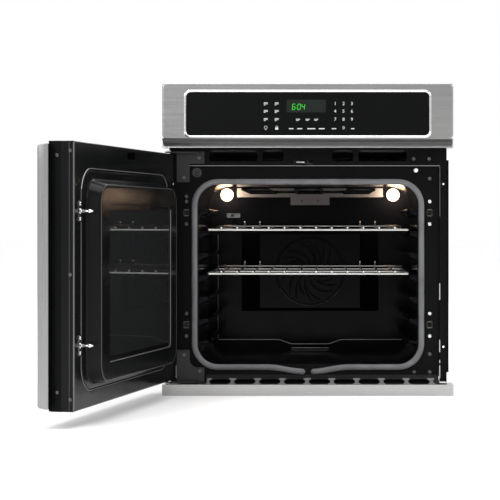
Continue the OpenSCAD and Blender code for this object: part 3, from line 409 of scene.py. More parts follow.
def painted(name, colour, rough=0.45, vary=0.08, grain=0.15, metallic=0.0, spec=0.5):
    """Paint, plain sheet or plastic with a light film and fine grain."""
    m, w, s, point = start(name)
    n = use(w, FILM, point, Scale=7.0)
    lift = tuple(min(1.0, c * 1.25 + 0.004) for c in colour[:3]) + (1,)
    w.link(w.mix(w.math("MULTIPLY", n.outputs["Film"], 0.5), colour, lift), s.inputs["Base Color"])
    r = w.math("ADD", w.math("MULTIPLY", n.outputs["Film"], vary), rough)
    r = w.math("ADD", r, w.math("MULTIPLY", n.outputs["Grain"], 0.05), clamp=True)
    w.link(r, s.inputs["Roughness"])
    set_values(s, Metallic=metallic, Specular_IOR_Level=spec)
    bump(w, s, n.outputs["Grain"], grain, 0.0003)
    return m


def galvanised(name, tone=0.33):
    """Zinc-coated sheet: crystal spangles of slightly different grey and gloss."""
    m, w, s, point = start(name)
    v = w.add("TexVoronoi")
    v.inputs["Scale"].default_value = 95.0
    w.link(point, v.inputs["Vector"])
    sep = w.add("SeparateColor")
    w.link(v.outputs["Color"], sep.inputs[0])
    film = use(w, FILM, point, Scale=5.0)
    low, high = tone * 0.78, tone * 1.16
    w.link(w.mix(sep.outputs[0], (low, low, low * 1.01, 1), (high, high, high * 1.02, 1)),
           s.inputs["Base Color"])
    r = w.spread(sep.outputs[1], 0.0, 1.0, 0.36, 0.52)
    w.link(w.math("ADD", r, w.math("MULTIPLY", film.outputs["Film"], 0.08)), s.inputs["Roughness"])
    set_values(s, Metallic=0.9)
    bump(w, s, film.outputs["Grain"], 0.1, 0.0002)
    return m


def plated(name, tone=0.78, rough=0.12, warm=0.0):
    """Bright plated wire or hardware with a faint haze of use."""
    m, w, s, point = start(name)
    n = use(w, FILM, point, Scale=14.0)
    a = (tone, tone * (1 - warm * 0.4), tone * (1 - warm), 1)
    b = tuple(c * 0.8 for c in a[:3]) + (1,)
    w.link(w.mix(n.outputs["Film"], a, b), s.inputs["Base Color"])
    w.link(w.math("ADD", w.math("MULTIPLY", n.outputs["Film"], 0.12), rough), s.inputs["Roughness"])
    set_values(s, Metallic=1.0)
    bump(w, s, n.outputs["Grain"], 0.08, 0.0001)
    return m


def pane(name, tint, transmission, rough=0.02, alpha=1.0):
    """Heat glass: tinted clear glass with a faint film on it."""
    m, w, s, point = start(name)
    n = use(w, FILM, point, Scale=6.0)
    w.link(w.math("ADD", w.math("MULTIPLY", n.outputs["Film"], 0.03), rough), s.inputs["Roughness"])
    set_values(s, Base_Color=tint, Transmission_Weight=transmission, IOR=1.5, Alpha=alpha)
    return m


def wool(name, colour=(0.62, 0.55, 0.34, 1)):
    """Pressed mineral wool: matted fibres in two directions."""
    m, w, s, point = start(name)
    a = w.noise(point, 120.0, 8.0, 0.7, stretch=(1, 6, 6))
    b = w.noise(point, 120.0, 8.0, 0.7, stretch=(6, 1, 6))
    f = w.math("MULTIPLY", a, b)
    dark = tuple(c * 0.6 for c in colour[:3]) + (1,)
    w.link(w.mix(w.spread(f, 0.12, 0.4, 0.0, 1.0), dark, colour), s.inputs["Base Color"])
    w.link(w.spread(f, 0.1, 0.4, 1.0, 0.85), s.inputs["Roughness"])
    bump(w, s, f, 0.8, 0.004)
    return m


def glowing(name, colour, strength, base, pale=0.4):
    """Lit glass: an emission colour that pales towards white in soft cloudy patches."""
    m, w, s, point = start(name)
    n = use(w, FILM, point, Scale=60.0)
    w.link(w.mix(w.math("MULTIPLY", n.outputs["Film"], pale), colour, (1.0, 0.95, 0.85, 1)),
           s.inputs["Emission Color"])
    set_values(s, Base_Color=base, Emission_Strength=strength, Roughness=0.15)
    return m


STEEL_X = stainless("brushed_stainless_panel", grain=(0.012, 1.0, 1.0), tone=0.39, rough=0.27)
# The panel's lower lip is the same steel in a darker tone: painted shade on the groove under the face.
STEEL_LIP_SHADED = stainless("brushed_stainless_lip_painted_shade", grain=(0.012, 1.0, 1.0), tone=0.27, rough=0.27)
STEEL_TRIM = stainless("brushed_stainless_trim", grain=(0.012, 1.0, 1.0), tone=0.44, rough=0.22)
STEEL_DOOR = stainless("brushed_stainless_door", grain=(1.0, 1.0, 0.012), tone=0.29, rough=0.28)
STEEL_BAR = stainless("brushed_stainless_handle", grain=(0.02, 1.0, 1.0), tone=0.52, rough=0.22, turn=-OPEN)
BLACK = enamel("black_enamel_frame", (0.0026, 0.0028, 0.0028, 1), (0.02, 0.02, 0.02, 1),
               gloss=0.26, amount=0.25, peel=0.10, spec=0.06)
LINER = enamel("black_enamel_liner", (0.0034, 0.0036, 0.0037, 1), (0.02, 0.02, 0.02, 1),
               gloss=0.15, amount=0.2, peel=0.08, spec=0.12)
CAVITY = enamel("blue_black_enamel_cavity", (0.0021, 0.0024, 0.0032, 1), (0.04, 0.045, 0.06, 1),
                gloss=0.10, amount=0.5, peel=0.08, size=520.0, spec=0.06)
SHADOW_BLACK = painted("matt_black_paint", (0.0012, 0.0012, 0.0013, 1), rough=0.5, spec=0.04)
BRACKET = painted("dark_bracket_paint", (0.010, 0.0105, 0.011, 1), rough=0.34, spec=0.4)
GREY_SHEET = painted("grey_coated_sheet", (0.155, 0.158, 0.168, 1), rough=0.5, spec=0.2)
VENT = painted("dark_vent_sheet", (0.016, 0.0162, 0.017, 1), rough=0.42, spec=0.1)
# The vent webs are the strip's own sheet in a paler finish: painted highlight.
WEB_HIGHLIGHT = painted("vent_web_painted_highlight", (0.20, 0.202, 0.205, 1), rough=0.42, metallic=0.3)
ZINC = galvanised("zinc_coated_sheet")
CHROME = plated("bright_plated_hardware", 0.88, 0.10)
DARK_SCREW = plated("blackened_screw", 0.12, 0.28)
RACK_WIRE = plated("plated_rack_wire", 0.64, 0.14, warm=0.03)
# Near-white caps on the ends of the rack wires and stops: painted highlights.
WIRE_END_HIGHLIGHT = painted("painted_highlight_wire_end", (0.95, 0.95, 0.93, 1), rough=0.25, grain=0.0)
HEATER = painted("oxidised_heating_tube", (0.012, 0.0115, 0.011, 1), rough=0.5, metallic=0.5)
ALU = plated("plain_aluminium", 0.6, 0.34)
FAN_DARK = painted("dark_fan_coating", (0.006, 0.006, 0.0065, 1), rough=0.4, metallic=0.2, spec=0.1)
CLIP = plated("dull_spring_clip", 0.36, 0.30)
MOTOR = painted("motor_casing_grey", (0.18, 0.18, 0.185, 1), rough=0.5, metallic=0.4)
PLASTIC_BLACK = painted("black_moulded_plastic", (0.012, 0.012, 0.013, 1), rough=0.5, grain=0.3, spec=0.3)
PLASTIC_WHITE = painted("white_moulded_plastic", (0.80, 0.80, 0.78, 1), rough=0.35)
BOARD = painted("green_circuit_board", (0.02, 0.12, 0.05, 1), rough=0.4)
WOOL = wool("mineral_wool")
CERAMIC = painted("white_lamp_ceramic", (0.7, 0.69, 0.66, 1), rough=0.3)
CONTROL_GLASS = enamel("black_printed_glass", (0.0036, 0.0040, 0.0038, 1), (0.005, 0.005, 0.005, 1),
                       gloss=0.03, amount=0.1, peel=0.0, spec=0.12)
DARK_PANE = pane("dark_tinted_glass", (0.03, 0.033, 0.036, 1), 0.55)
CLEAR_PANE = pane("clear_heat_glass", (0.55, 0.58, 0.58, 1), 0.95)
INNER_PANE = enamel("inner_heat_glass", (0.011, 0.0115, 0.0118, 1), (0.005, 0.005, 0.005, 1),
                    gloss=0.02, amount=0.05, peel=0.0, spec=0.5)
LAMP_GLASS = glowing("lit_lamp_glass", (1.0, 0.60, 0.32, 1), 4.5, (1.0, 0.96, 0.9, 1), pale=0.15)
PRINT = enamel("black_printed_border", (0.003, 0.003, 0.0033, 1), (0.004, 0.004, 0.004, 1),
               gloss=0.12, amount=0.05, peel=0.0, spec=0.3)
# Near-black fill for the lock pocket and the sheet under the vent slots: painted shade.
SHADE_FILL = painted("painted_shade_slot_fill", (0.0015, 0.0015, 0.0015, 1), rough=0.8, spec=0.05)
BRIGHT = plated("polished_steel_bezel", 0.95, 0.10)
# Pale finishes for the thin beads along bends and edges: painted highlights, faint, middling and strong.
FAINT_HIGHLIGHT = painted("painted_faint_highlight", (0.06, 0.061, 0.062, 1), rough=0.3, metallic=0.3)
HIGHLIGHT = painted("painted_highlight_edge", (0.20, 0.201, 0.203, 1), rough=0.3, metallic=0.4)
STRONG_HIGHLIGHT = painted("painted_strong_highlight", (0.55, 0.55, 0.54, 1), rough=0.3, metallic=0.5)
MARK = painted("light_grey_print", (0.52, 0.52, 0.52, 1), rough=0.5, grain=0.0)
DISPLAY = painted("dark_display_window", (0.006, 0.009, 0.007, 1), rough=0.12, grain=0.0, spec=0.3)
CLOCK = glowing("green_clock_light", (0.03, 0.78, 0.03, 1), 1.0, (0.01, 0.06, 0.01, 1), pale=0.0)
BULB = glowing("lit_halogen_bulb", (1.0, 0.78, 0.5, 1), 20.0, (1.0, 0.95, 0.85, 1))

FINISHES = (
    (STEEL_X, "control_panel"), (STEEL_TRIM, "bottom_trim"), (STEEL_DOOR, "door_skin"),
    (STEEL_BAR, "handle_bar handle_posts"), (BLACK, "face_frame door_frame"), (LINER, "door_liner"),
    (SHADOW_BLACK, "mounting_rails door_gasket"),
    (BRACKET, "upper_hinge_bracket lower_hinge_bracket door_hinge_plates"),
    (CAVITY, "cavity_wrap cavity_back floor_panel fan_shroud"), (RACK_WIRE, "upper_rack lower_rack"),
    (CHROME, "strike_pins frame_screws door_screws hinge_pins lock_hook"),
    (CLIP, "catch_clips temperature_probe"),
    (WOOL, "cavity_insulation rear_insulation door_insulation"), (VENT, "bottom_vent_strip"),
    (HEATER, "bake_element broil_element convection_element"), (GREY_SHEET, "broil_bracket"),
    (CONTROL_GLASS, "control_glass"), (DARK_PANE, "door_outer_glass"), (CLEAR_PANE, "door_middle_glass"),
    (INNER_PANE, "door_inner_glass"), (LAMP_GLASS, "lamp_lenses"), (BULB, "lamp_bulbs"),
    (CERAMIC, "lamp_housings"),
    (PLASTIC_BLACK, "display_module control_housing door_switch switch_blank"),
    (PLASTIC_WHITE, "switch_plunger"),
    (BOARD, "control_board"), (MOTOR, "convection_motor blower_motor"), (ALU, "blower_wheel"),
    (FAN_DARK, "convection_fan"),
)
finish_of = {name: finish for finish, names in FINISHES for name in names.split()}
for name, obj in nodes.items():
    obj.data.materials.clear()
    obj.data.materials.append(finish_of.get(name, ZINC))

# ------------------------------------------------------------------ racks


def bent(points, r, steps=6):
    """Path through the points with each inner corner rounded: a quadratic bend that starts r before the
    corner."""
    pts = np.asarray(points, float)
    out = [pts[:1]]
    k = np.linspace(0, 1, steps)[:, None]
    for a, b, c in zip(pts[:-2], pts[1:-1], pts[2:]):
        p = b + (a - b) / np.linalg.norm(a - b) * r
        q = b + (c - b) / np.linalg.norm(c - b) * r
        out.append((1 - k) ** 2 * p + 2 * k * (1 - k) * b + k ** 2 * q)
    out.append(pts[-1:])
    return np.vstack(out)


def rack(name, z):
    """Wire rack: rail with round corners, wires from front to back, cross bars and four rear stops; the
    ends of the wires and of the stops carry near-white caps as painted highlights."""
    x, front, back, pitch = 247.0, 30.0, 428.0, 38.0
    rail_r, wire_r, top = 3.0, 1.9, z + 4.5
    o = rounded_outline(-x, x, front, back, 9.0, side=12, arc=10)
    parts = wire(np.c_[o, np.full(len(o), z)] * MM, rail_r * MM, 14, closed=True)
    tips = []
    along, short = np.linspace(0, 1, 12)[:, None], np.linspace(0, 1, 3)
    for i in range(12):
        at = pitch * (i - 5.5)
        a, b = np.array([at, front - 1.5, top]), np.array([at, back + 0.5, top])
        parts += wire((a + (b - a) * along) * MM, wire_r * MM, 10)
        tips += wire((np.array([at, front - 2.6, top + 0.5]) + np.outer(short, (0, 0.8, 0))) * MM, 2.1 * MM,
                     10)
    for y, h, r in ((back - 9, top + 3.6, 2.3), (front + 9, z + 0.3, 1.9),
                    ((front + back) / 2, z - 0.2, 2.8)):
        parts += wire(np.linspace([-x + 3, y, h], [x - 3, y, h], 20) * MM, r * MM, 12)
    for at in (-173, -133, 133, 173):
        parts += wire(np.linspace([at, back - 1, top - 1], [at, back - 1, top + 14], 5) * MM, wire_r * MM, 12)
        tips += wire((np.array([at, back - 1, top + 13.6]) + np.outer(short, (0, 0, 0.8))) * MM, 2.2 * MM, 10)
    # Near-white caps on the wire and stop ends: painted highlights.
    piece("highlight_caps_of_" + name, tips, WIRE_END_HIGHLIGHT, name, slot=name)
    piece("wires_of_" + name, parts, RACK_WIRE, name, replaces=(name,), slot=name)


rack("upper_rack", 390.0)
rack("lower_rack", 284.0)

# ------------------------------------------------------------------ gasket


def gasket():
    """Braided tube, a little flattened, carried round the cavity mouth.
    Its UV runs in millimetres along it and in turns round it."""
    x, z0, z1, r = 270.8, 62.5, 505.0, 56.0
    k = np.linspace(0, np.pi / 2, 24)
    left_dip = np.stack([np.linspace(-6, -101, 26),
                         51.5 + 11.0 * (0.5 - 0.5 * np.cos(np.linspace(0, np.pi, 26)))], -1)
    corner_bl = np.stack([-x + r - r * np.sin(k), z0 + r - r * np.cos(k)], -1)
    corner_tl = np.stack([-x + r - r * np.cos(k), z1 - r + r * np.sin(k)], -1)
    left_half = np.vstack([left_dip, corner_bl, corner_tl])
    path = np.vstack([left_half, (left_half * [-1, 1])[::-1]])
    step = np.linalg.norm(np.diff(path, axis=0), axis=1)
    at = np.concatenate([[0], np.cumsum(step)])
    n = int(at[-1] / 4.0)
    s = np.linspace(0, at[-1], n)
    path = np.stack([np.interp(s, at, path[:, 0]), np.interp(s, at, path[:, 1])], -1)
    t = np.gradient(path, axis=0)
    t /= np.linalg.norm(t, axis=1)[:, None]
    side = np.stack([-t[:, 1], t[:, 0]], -1)
    sides = 20
    a = np.linspace(0, 2 * np.pi, sides, endpoint=False)
    rad = np.full(n, 6.75)
    ends = np.sqrt(np.clip(1 - (1 - np.clip(np.minimum(s, at[-1] - s) / 6.0, 0, 1)) ** 2, 0.003, 1))
    rad = rad * ends
    wob = 1 + 0.02 * np.sin(s / 31.0) + 0.015 * np.sin(s / 11.0)
    rad = rad * wob
    c, d = np.cos(a)[None, :] * rad[:, None], np.sin(a)[None, :] * rad[:, None] * 0.82
    p = np.stack([path[:, :1] + side[:, :1] * c, -5.6 + d, path[:, 1:] + side[:, 1:] * c], -1) * MM
    v, q = patch(p, wrap_v=True)
    obj = piece("braided_gasket", [(v, q), fan_cap(p[0]), fan_cap(p[-1], flip=True)], BRAID, "oven",
                replaces=("door_gasket",), slot="door_gasket")
    i, j = np.meshgrid(np.arange(n - 1), np.arange(sides), indexing="ij")
    i, j = i.ravel(), j.ravel()
    u = np.stack([s[i], s[i + 1], s[i + 1], s[i]], -1)
    turns = np.stack([j, j, j + 1, j + 1], -1) / sides
    uv = np.stack([u, turns], -1).reshape(-1, 2)
    uv = np.vstack([uv, np.zeros((len(obj.data.loops) - len(uv), 2))])
    layer = obj.data.uv_layers.new(name="braid")
    layer.data.foreach_set("uv", uv.astype(np.float32).ravel())


def braid(name):
    """Glass-fibre braid: two sets of strands cross over and under along the tube; painted shade where they
    dip.
    """
    m, w, s, point = start(name)
    uv = w.add("UVMap", uv_map="braid")
    sep = w.add("SeparateXYZ")
    w.link(uv.outputs["UV"], sep.inputs[0])
    u = w.math("MULTIPLY", sep.outputs[0], 2 * math.pi / 9.0)
    v = w.math("MULTIPLY", sep.outputs[1], 2 * math.pi * 5)
    s1 = w.math("SINE", w.math("ADD", u, v))
    s2 = w.math("SINE", w.math("SUBTRACT", u, v))
    over = w.math("GREATER_THAN", w.math("MULTIPLY", s1, s2), 0.0)
    a1, a2 = w.math("ABSOLUTE", s1), w.math("ABSOLUTE", s2)
    height = w.math("ADD", w.math("MULTIPLY", a1, over),
                    w.math("MULTIPLY", a2, w.math("SUBTRACT", 1.0, over)))
    fibre = w.noise(point, 900.0, 3.0, 0.6)
    soil = w.noise(point, 24.0, 3.0, 0.6)
    # The tone falls towards near black where a strand dips under its neighbour, as painted shade between
    # strands; the soil noise adds uneven dirt.
    tone = w.math("MULTIPLY", w.math("POWER", height, 0.6), w.spread(soil, 0.3, 0.7, 0.75, 1.1), clamp=True)
    w.link(w.mix(tone, (0.022, 0.022, 0.024, 1), (0.23, 0.232, 0.242, 1)), s.inputs["Base Color"])
    w.link(w.spread(fibre, 0.3, 0.7, 0.75, 0.95), s.inputs["Roughness"])
    set_values(s, Sheen_Weight=0.08, Sheen_Roughness=0.5, Specular_IOR_Level=0.2)
    bump(w, s, w.math("ADD", height, w.math("MULTIPLY", fibre, 0.35)), 0.9, 0.0012)
    return m


BRAID = braid("grey_glass_braid")
gasket()

# ------------------------------------------------------------------ door


def door_piece(name, grids, material, smooth=60.0, flip=False, **extra):
    """Piece of the door, worked out on the closed door and turned to the open one."""
    parts = [patch(opened(g), wrap_v=True, flip=flip) for g in grids]
    return piece(name, parts, material, "door", smooth, **extra)


liner = pressed([
    (325, 34, 570, 2, -38), (325, 34, 570, 2, -15), (324.7, 34.3, 569.7, 2, -13.6),
    (323.9, 35.1, 568.9, 2, -12.5),
    (322.4, 36.6, 567.4, 2, -12), (321.4, 37.6, 566.4, 2, -12), (287.2, 65.4, 520.2, 57, -12),
    (286.0, 66.6, 519.0, 56, -12), (284.6, 68.0, 517.6, 55, -12.2), (283.6, 69.0, 516.6, 54.2, -12.9),
    (282.0, 70.6, 515.0, 53, -13.3), (280.4, 72.2, 513.4, 52, -12.9), (279.4, 73.2, 512.4, 51, -12.2),
    (278.0, 74.6, 511.0, 50, -12), (259.4, 76.0, 498.6, 46, -12), (257.4, 78.0, 496.8, 44.5, -11.4),
    (256.0, 79.2, 495.0, 43.5, -9.8), (255.2, 80.0, 493.6, 43, -6.5), (252.9, 82.4, 488.0, 41.0, 12.0),
    (252.3, 83.0, 486.8, 40.4, 15.2), (251.3, 84.0, 485.4, 39.4, 17.6), (249.6, 85.7, 483.6, 37.8, 18.8),
    (247.2, 88.1, 481.2, 35.5, 19.0), (246.2, 89.1, 480.2, 34.5, 19.0), (207.8, 120.2, 447.8, 18, 19.0),
    (206.6, 121.4, 446.6, 17, 19.0), (205.2, 122.8, 445.2, 15.6, 18.7), (204.2, 123.8, 444.2, 14.6, 17.7),
    (204.0, 124.0, 444.0, 14.4, 15.6),
], side=10, arc=14)
liner_obj = door_piece("pressed_door_liner", [liner], LINER, smooth=45, replaces=("door_liner",),
                       slot="door_liner")

skin = pressed([
    (339.8, 42.8, 561.2, 2, -64.6), (341.4, 41.1, 562.9, 2, -63.0), (342.6, 39.9, 564.1, 2.4, -63.2),
    (343, 39.5, 564.5, 2.6, -64.6), (343, 42.4, 561.6, 2.6, -78.4), (342.7, 43.2, 560.8, 2.8, -80.2),
    (341.7, 44.6, 559.4, 3, -81.5), (339.8, 46.6, 557.4, 3, -82.0), (338.6, 47.8, 556.2, 3, -82.0),
    (234.6, 127.4, 452.6, 12, -82.0), (233.2, 128.8, 451.2, 11, -82.0), (232.2, 129.8, 450.2, 10.2, -81.6),
    (231.8, 130.2, 449.8, 9.8, -80.7),
], side=10, arc=8)
door_piece("stainless_door_skin", [skin], STEEL_DOOR, smooth=40, flip=True, replaces=("door_skin",),
           slot="door_skin")
door_piece("inner_window_border", [pressed([(204, 124, 444, 14, 17.3), (197, 134, 434, 9, 17.3)])], PRINT,
           slot="door_liner")
door_piece("outer_window_border", [pressed([(231.8, 130.2, 449.8, 9.8, -80.4), (214, 146, 434, 6, -80.4)])],
           PRINT,
           flip=True, slot="door_outer_glass")


def side_lips():
    """Deeper sides of the skin: a thin rounded strip up each side edge."""
    parts = []
    o = np.array([[341.5, -64.4], [343.0, -64.4], [343.0, -59.0], [342.7, -58.4], [342.25, -58.3],
                  [341.8, -58.4], [341.5, -59.0]])
    heights = (40.2, 40.3, 301.0, 563.7, 563.8)
    for sgn in (-1, 1):
        rows = opened(np.stack([np.c_[o[:, 0] * sgn, o[:, 1], np.full(len(o), z)] for z in heights]) * MM)
        parts += [patch(rows, wrap_v=True, flip=sgn > 0), fan_cap(rows[0], flip=sgn > 0),
                  fan_cap(rows[-1], flip=sgn < 0)]
    return parts


piece("door_skin_side_lips", side_lips(), STEEL_DOOR, "door", smooth=40, slot="door_skin")


def closed_place(v):
    """Place of a point of the open door on the closed one, in millimetres: the turn of opened(), undone."""
    dx, dy = v[0] - PIVOT[0], v[1] - PIVOT[1]
    c, s = math.cos(OPEN), math.sin(OPEN)
    return np.array([PIVOT[0] + dx * c - dy * s, PIVOT[1] + dx * s + dy * c, v[2]]) / MM


def flat_faces(mesh, x0, x1, z0, z1):
    """Faces of the liner's flat face whose middles lie inside the rectangle on the closed door."""
    found = []
    for f in mesh.faces:
        x, y, z = closed_place(f.calc_center_median())
        if x0 < x < x1 and z0 < z < z1 and abs(y - DOOR_FACE_Y) < 0.2:
            found.append(f)
    return found


def cut_slot(obj, x0, x1, z0, z1):
    """Opens a rectangular slot in the flat face of the liner: cuts along its four sides, then drops the
    faces inside."""
    mesh = bmesh.new()
    mesh.from_mesh(obj.data)
    level, up = (math.cos(OPEN), -math.sin(OPEN), 0.0), (0.0, 0.0, 1.0)
    for x, z, way in ((x0, z0, level), (x1, z0, level), (x0, z0, up), (x0, z1, up)):
        near = flat_faces(mesh, -400, 400, 519, 567.6)
        edges = {e for f in near for e in f.edges}
        corners = {v for f in near for v in f.verts}
        bmesh.ops.bisect_plane(mesh, geom=near + list(edges) + list(corners), dist=1e-7,
                               plane_co=tuple(opened(np.array([x, DOOR_FACE_Y, z]) * MM)), plane_no=way)
    bmesh.ops.delete(mesh, geom=flat_faces(mesh, x0, x1, z0, z1), context="FACES")
    mesh.to_mesh(obj.data)
    mesh.free()


SLOT = (-47, 6, 545, 561)
cut_slot(liner_obj, *SLOT)
pocket_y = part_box("lock_hook")[0][1] / MM - 2.0
pocket = opened(pressed([SLOT + (0.0, y) for y in (-12.0, -13.0, pocket_y)], arc=3, side=3))
# The pocket behind the lock slot is lined near-black: painted shade.
piece("door_lock_pocket", [patch(pocket, wrap_v=True), fan_cap(pocket[-1], flip=True)], SHADE_FILL, "door",
      smooth=30,
      slot="door_liner")


def roll(name, paths, r, material, body, on_door=False, sides=10):
    """Thin round beads along the bends of a sheet: in the sheet's own finish they round its edges, in a pale
    finish they are painted highlights.
    """
    parts = []
    for p in paths:
        p = np.asarray(p, float) * MM
        if on_door:
            p = opened(p)
        parts += wire(p, r * MM, sides)
    return piece(name, parts, material, body)


def u_path(x, z0, z1, y, r=4.0):
    """Path up one side, across and down the other, with rounded corners."""
    return bent([[-x, y, z0], [-x, y, z1], [x, y, z1], [x, y, z0]], r)


def ring_path(x, z0, z1, r, y):
    """Closed outline of a pressed edge, as a path in three dimensions."""
    o = rounded_outline(-x, x, z0, z1, r, 8, 12)
    return np.c_[o[:, 0], np.full(len(o), y), o[:, 1]]


def rim(name, x, z0, z1, r, y, thick, material):
    """Bead right round a pressed edge of the door, in a pale finish: a painted highlight line."""
    p = ring_path(x, z0, z1, r, y) * MM
    return piece(name, wire(opened(p), thick * MM, 8, closed=True), material, "door", slot="door_liner")


def upright(x, y, z0, z1):
    """Straight path from z0 up to z1."""
    return np.linspace([x, y, z0], [x, y, z1], 6)


def circle(x, y, z, r, n):
    """Closed circle of n points round (x, z)."""
    a = np.linspace(0, 2 * np.pi, n, endpoint=False)
    return np.c_[x + r * np.cos(a), np.full(n, y), z + r * np.sin(a)]


# Painted highlights: pale beads along the frame's step edges and the lower edges of the vent slots. The
# frame's outer edge and inner bend are beads in its own black.
roll("frame_upper_step_highlight", [np.linspace([-283, STEP_Y, 543.4], [314.5, STEP_Y, 543.4], 30)], 1.35, HIGHLIGHT,
     "oven")
roll("frame_side_step_faint_highlight", [upright(x, STEP_Y, z0, z1) for x, z0,
                              z1 in ((315.0, 264, 406), (315.0, 128, 222), (-315.0, 106, 500))],
     1.0, FAINT_HIGHLIGHT, "oven")
roll("frame_lit_step_highlight", [upright(315.0, STEP_Y, 423, 541)], 1.2, HIGHLIGHT, "oven")
strong_highlight_runs = ((314.6, 37, 66), (314.6, 73, 79), (314.6, 99, 127), (314.6, 224, 262), (-314.6, 37, 66))
roll("frame_step_strong_highlight", [upright(x, STEP_Y, z0, z1) for x, z0, z1 in strong_highlight_runs], 1.4, STRONG_HIGHLIGHT,
     "oven")
roll("frame_outer_edge", [u_path(329.6, 28, 583.0, -6.6)], 1.45, BLACK, "oven")
roll("frame_inner_bend", [u_path(313.4, 41, 541.9, -0.2, 2.0)], 1.2, BLACK, "oven")
roll("vent_lower_edge_highlights", [np.linspace([a, -7.2, 552.4], [b, -7.2, 552.4], 8) for a,
                          b in ((-229, -127), (-101, -65), (65, 101), (127, 229))],
     0.8, HIGHLIGHT, "oven")
# Painted highlights on the door: pale beads along the liner's groove and its corner, its outer edges and
# flange, and round the window plug and frame.
rim("liner_groove_highlight", 285.0, 67.6, 518.0, 55.4, -12.4, 0.75, HIGHLIGHT)
k = np.linspace(0, np.pi / 2, 20)
groove_corner = np.c_[229.6 + 55.4 * np.cos(k), np.full(20, -12.3), 462.6 + 55.4 * np.sin(k)]
roll("groove_corner_light", [groove_corner[3:17]], 1.0, STRONG_HIGHLIGHT, "door", on_door=True)
roll("liner_outer_edge_highlight", [upright(324.6, -12.9, 37, 567), upright(321.6, -12.2, 37, 567)], 0.6, HIGHLIGHT, "door",
     on_door=True)
roll("liner_flange_faint_highlight", [upright(324.9, -21.5, 37, 567)], 0.6, FAINT_HIGHLIGHT, "door", on_door=True)
rim("window_plug_faint_highlight", 250.4, 85.0, 484.4, 38.6, 18.2, 0.8, FAINT_HIGHLIGHT)
roll("window_frame_highlight", [bent([[-204.4, 18.9, 436], [-204.4, 18.9, 123.6], [200, 18.9, 123.6]], 14.0)], 0.7,
     HIGHLIGHT, "door",
     on_door=True)
# Painted highlights in the cavity: pale beads along the floor's rear lip, under the fan ring and up the back
# corner.
lip = np.array([(-244, 94.6), (-82, 94.6), (-51, 83.0), (51, 83.0), (82, 94.6), (244, 94.6)])
roll("floor_lip_highlight", [bent(np.c_[lip[:, 0], np.full(6, 449.2), lip[:, 1]], 6.0),
                        np.linspace([-49, 446.9, 72.6], [49, 446.9, 72.6], 6)],
     0.8, STRONG_HIGHLIGHT, "oven")
turn = np.radians(np.linspace(-150, -30, 30))
bead = np.c_[92.0 * np.cos(turn), np.full(30, 432.6), FAN_Z + 92.0 * np.sin(turn)]
roll("fan_ring_lower_light", [bead], 0.7, FAINT_HIGHLIGHT, "oven")
roll("cavity_corner_highlight", [upright(-246, 454.2, 98, 380)], 0.6, HIGHLIGHT, "oven")

blank_low, blank_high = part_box("switch_blank")
blank_mid = (np.array(blank_low) + np.array(blank_high)) / 2 / MM
# Two pale rings on the blank switch: painted highlights where its embossed rim and dimple would catch the
# light.
for name, radius, thick in (("switch_blank_rim_highlight", 9.6, 0.7), ("switch_blank_dimple_highlight", 5.2, 0.5)):
    ring = circle(blank_mid[0], blank_low[1] / MM - 0.1, blank_mid[2], radius, 40)
    piece(name, wire(ring * MM, thick * MM, 8, closed=True), FAINT_HIGHLIGHT, "oven", slot="switch_blank")

frame_ring = pressed([
    (261.9, 68.1, 501.9, 47.9, 2.2), (262.0, 68.0, 502.0, 48, 0.6), (262.8, 67.2, 502.8, 48.8, -0.3),
    (264.2, 65.8, 504.2, 50.2, -0.5), (266, 64, 506, 52, -0.5),
], side=10, arc=14)
piece("cavity_mouth_roll", [patch(frame_ring, wrap_v=True)], BLACK, "oven")

# ------------------------------------------------------------------ screws


def turned(profile, centre, axis, toward=-1, sides=24):
    """Closed turned solid from a profile of (radius, height); both end rings are filled, faces turned
    outward."""
    profile = np.asarray(profile, float) * [1, toward]
    grid = lathe(profile, centre, axis, sides)
    parts = [patch(grid, wrap_v=True), fan_cap(grid[0], flip=True), fan_cap(grid[-1])]
    v, f = parts[0]
    a, b, c = v[f[:, 0]], v[f[:, 1]], v[f[:, 2]]
    mid = grid.reshape(-1, 3).mean(0)
    if np.einsum("ij,ij->", np.cross(b - a, c - a), (a + b + c) / 3 - mid) < 0:
        parts = [(v, f[:, ::-1]) for v, f in parts]
    return parts


HEAD = [(0.9, 0.02), (4.5, 0.02), (4.5, 0.9), (4.2, 1.6), (3.4, 2.1), (2.5, 2.2), (2.1, 2.1), (1.7, 1.2),
        (0.9, 1.0)]
FLAT_HEAD = [(0.9, 0.02), (4.2, 0.02), (4.2, 0.4), (3.8, 0.75), (2.4, 0.8), (2.0, 0.7), (1.6, 0.3),
             (0.9, 0.25)]
ring_screws = [(291, 513, 0), (291, 93, 0), (291, 50, 0), (254, 50, 0), (-291, 470, 0), (252, 560, -8),
               (289, 560, -8)]
catch_screws = [(x, z + dz, 0) for x in (-291, 291) for z in (431, 163) for dz in (-27, 27)]
plate_screws = [(-296, 515, -11), (-260, 562, -11), (-296, 92, -11), (-258, 53, -11)]
highlit_catch_screws, dark_set = [], []
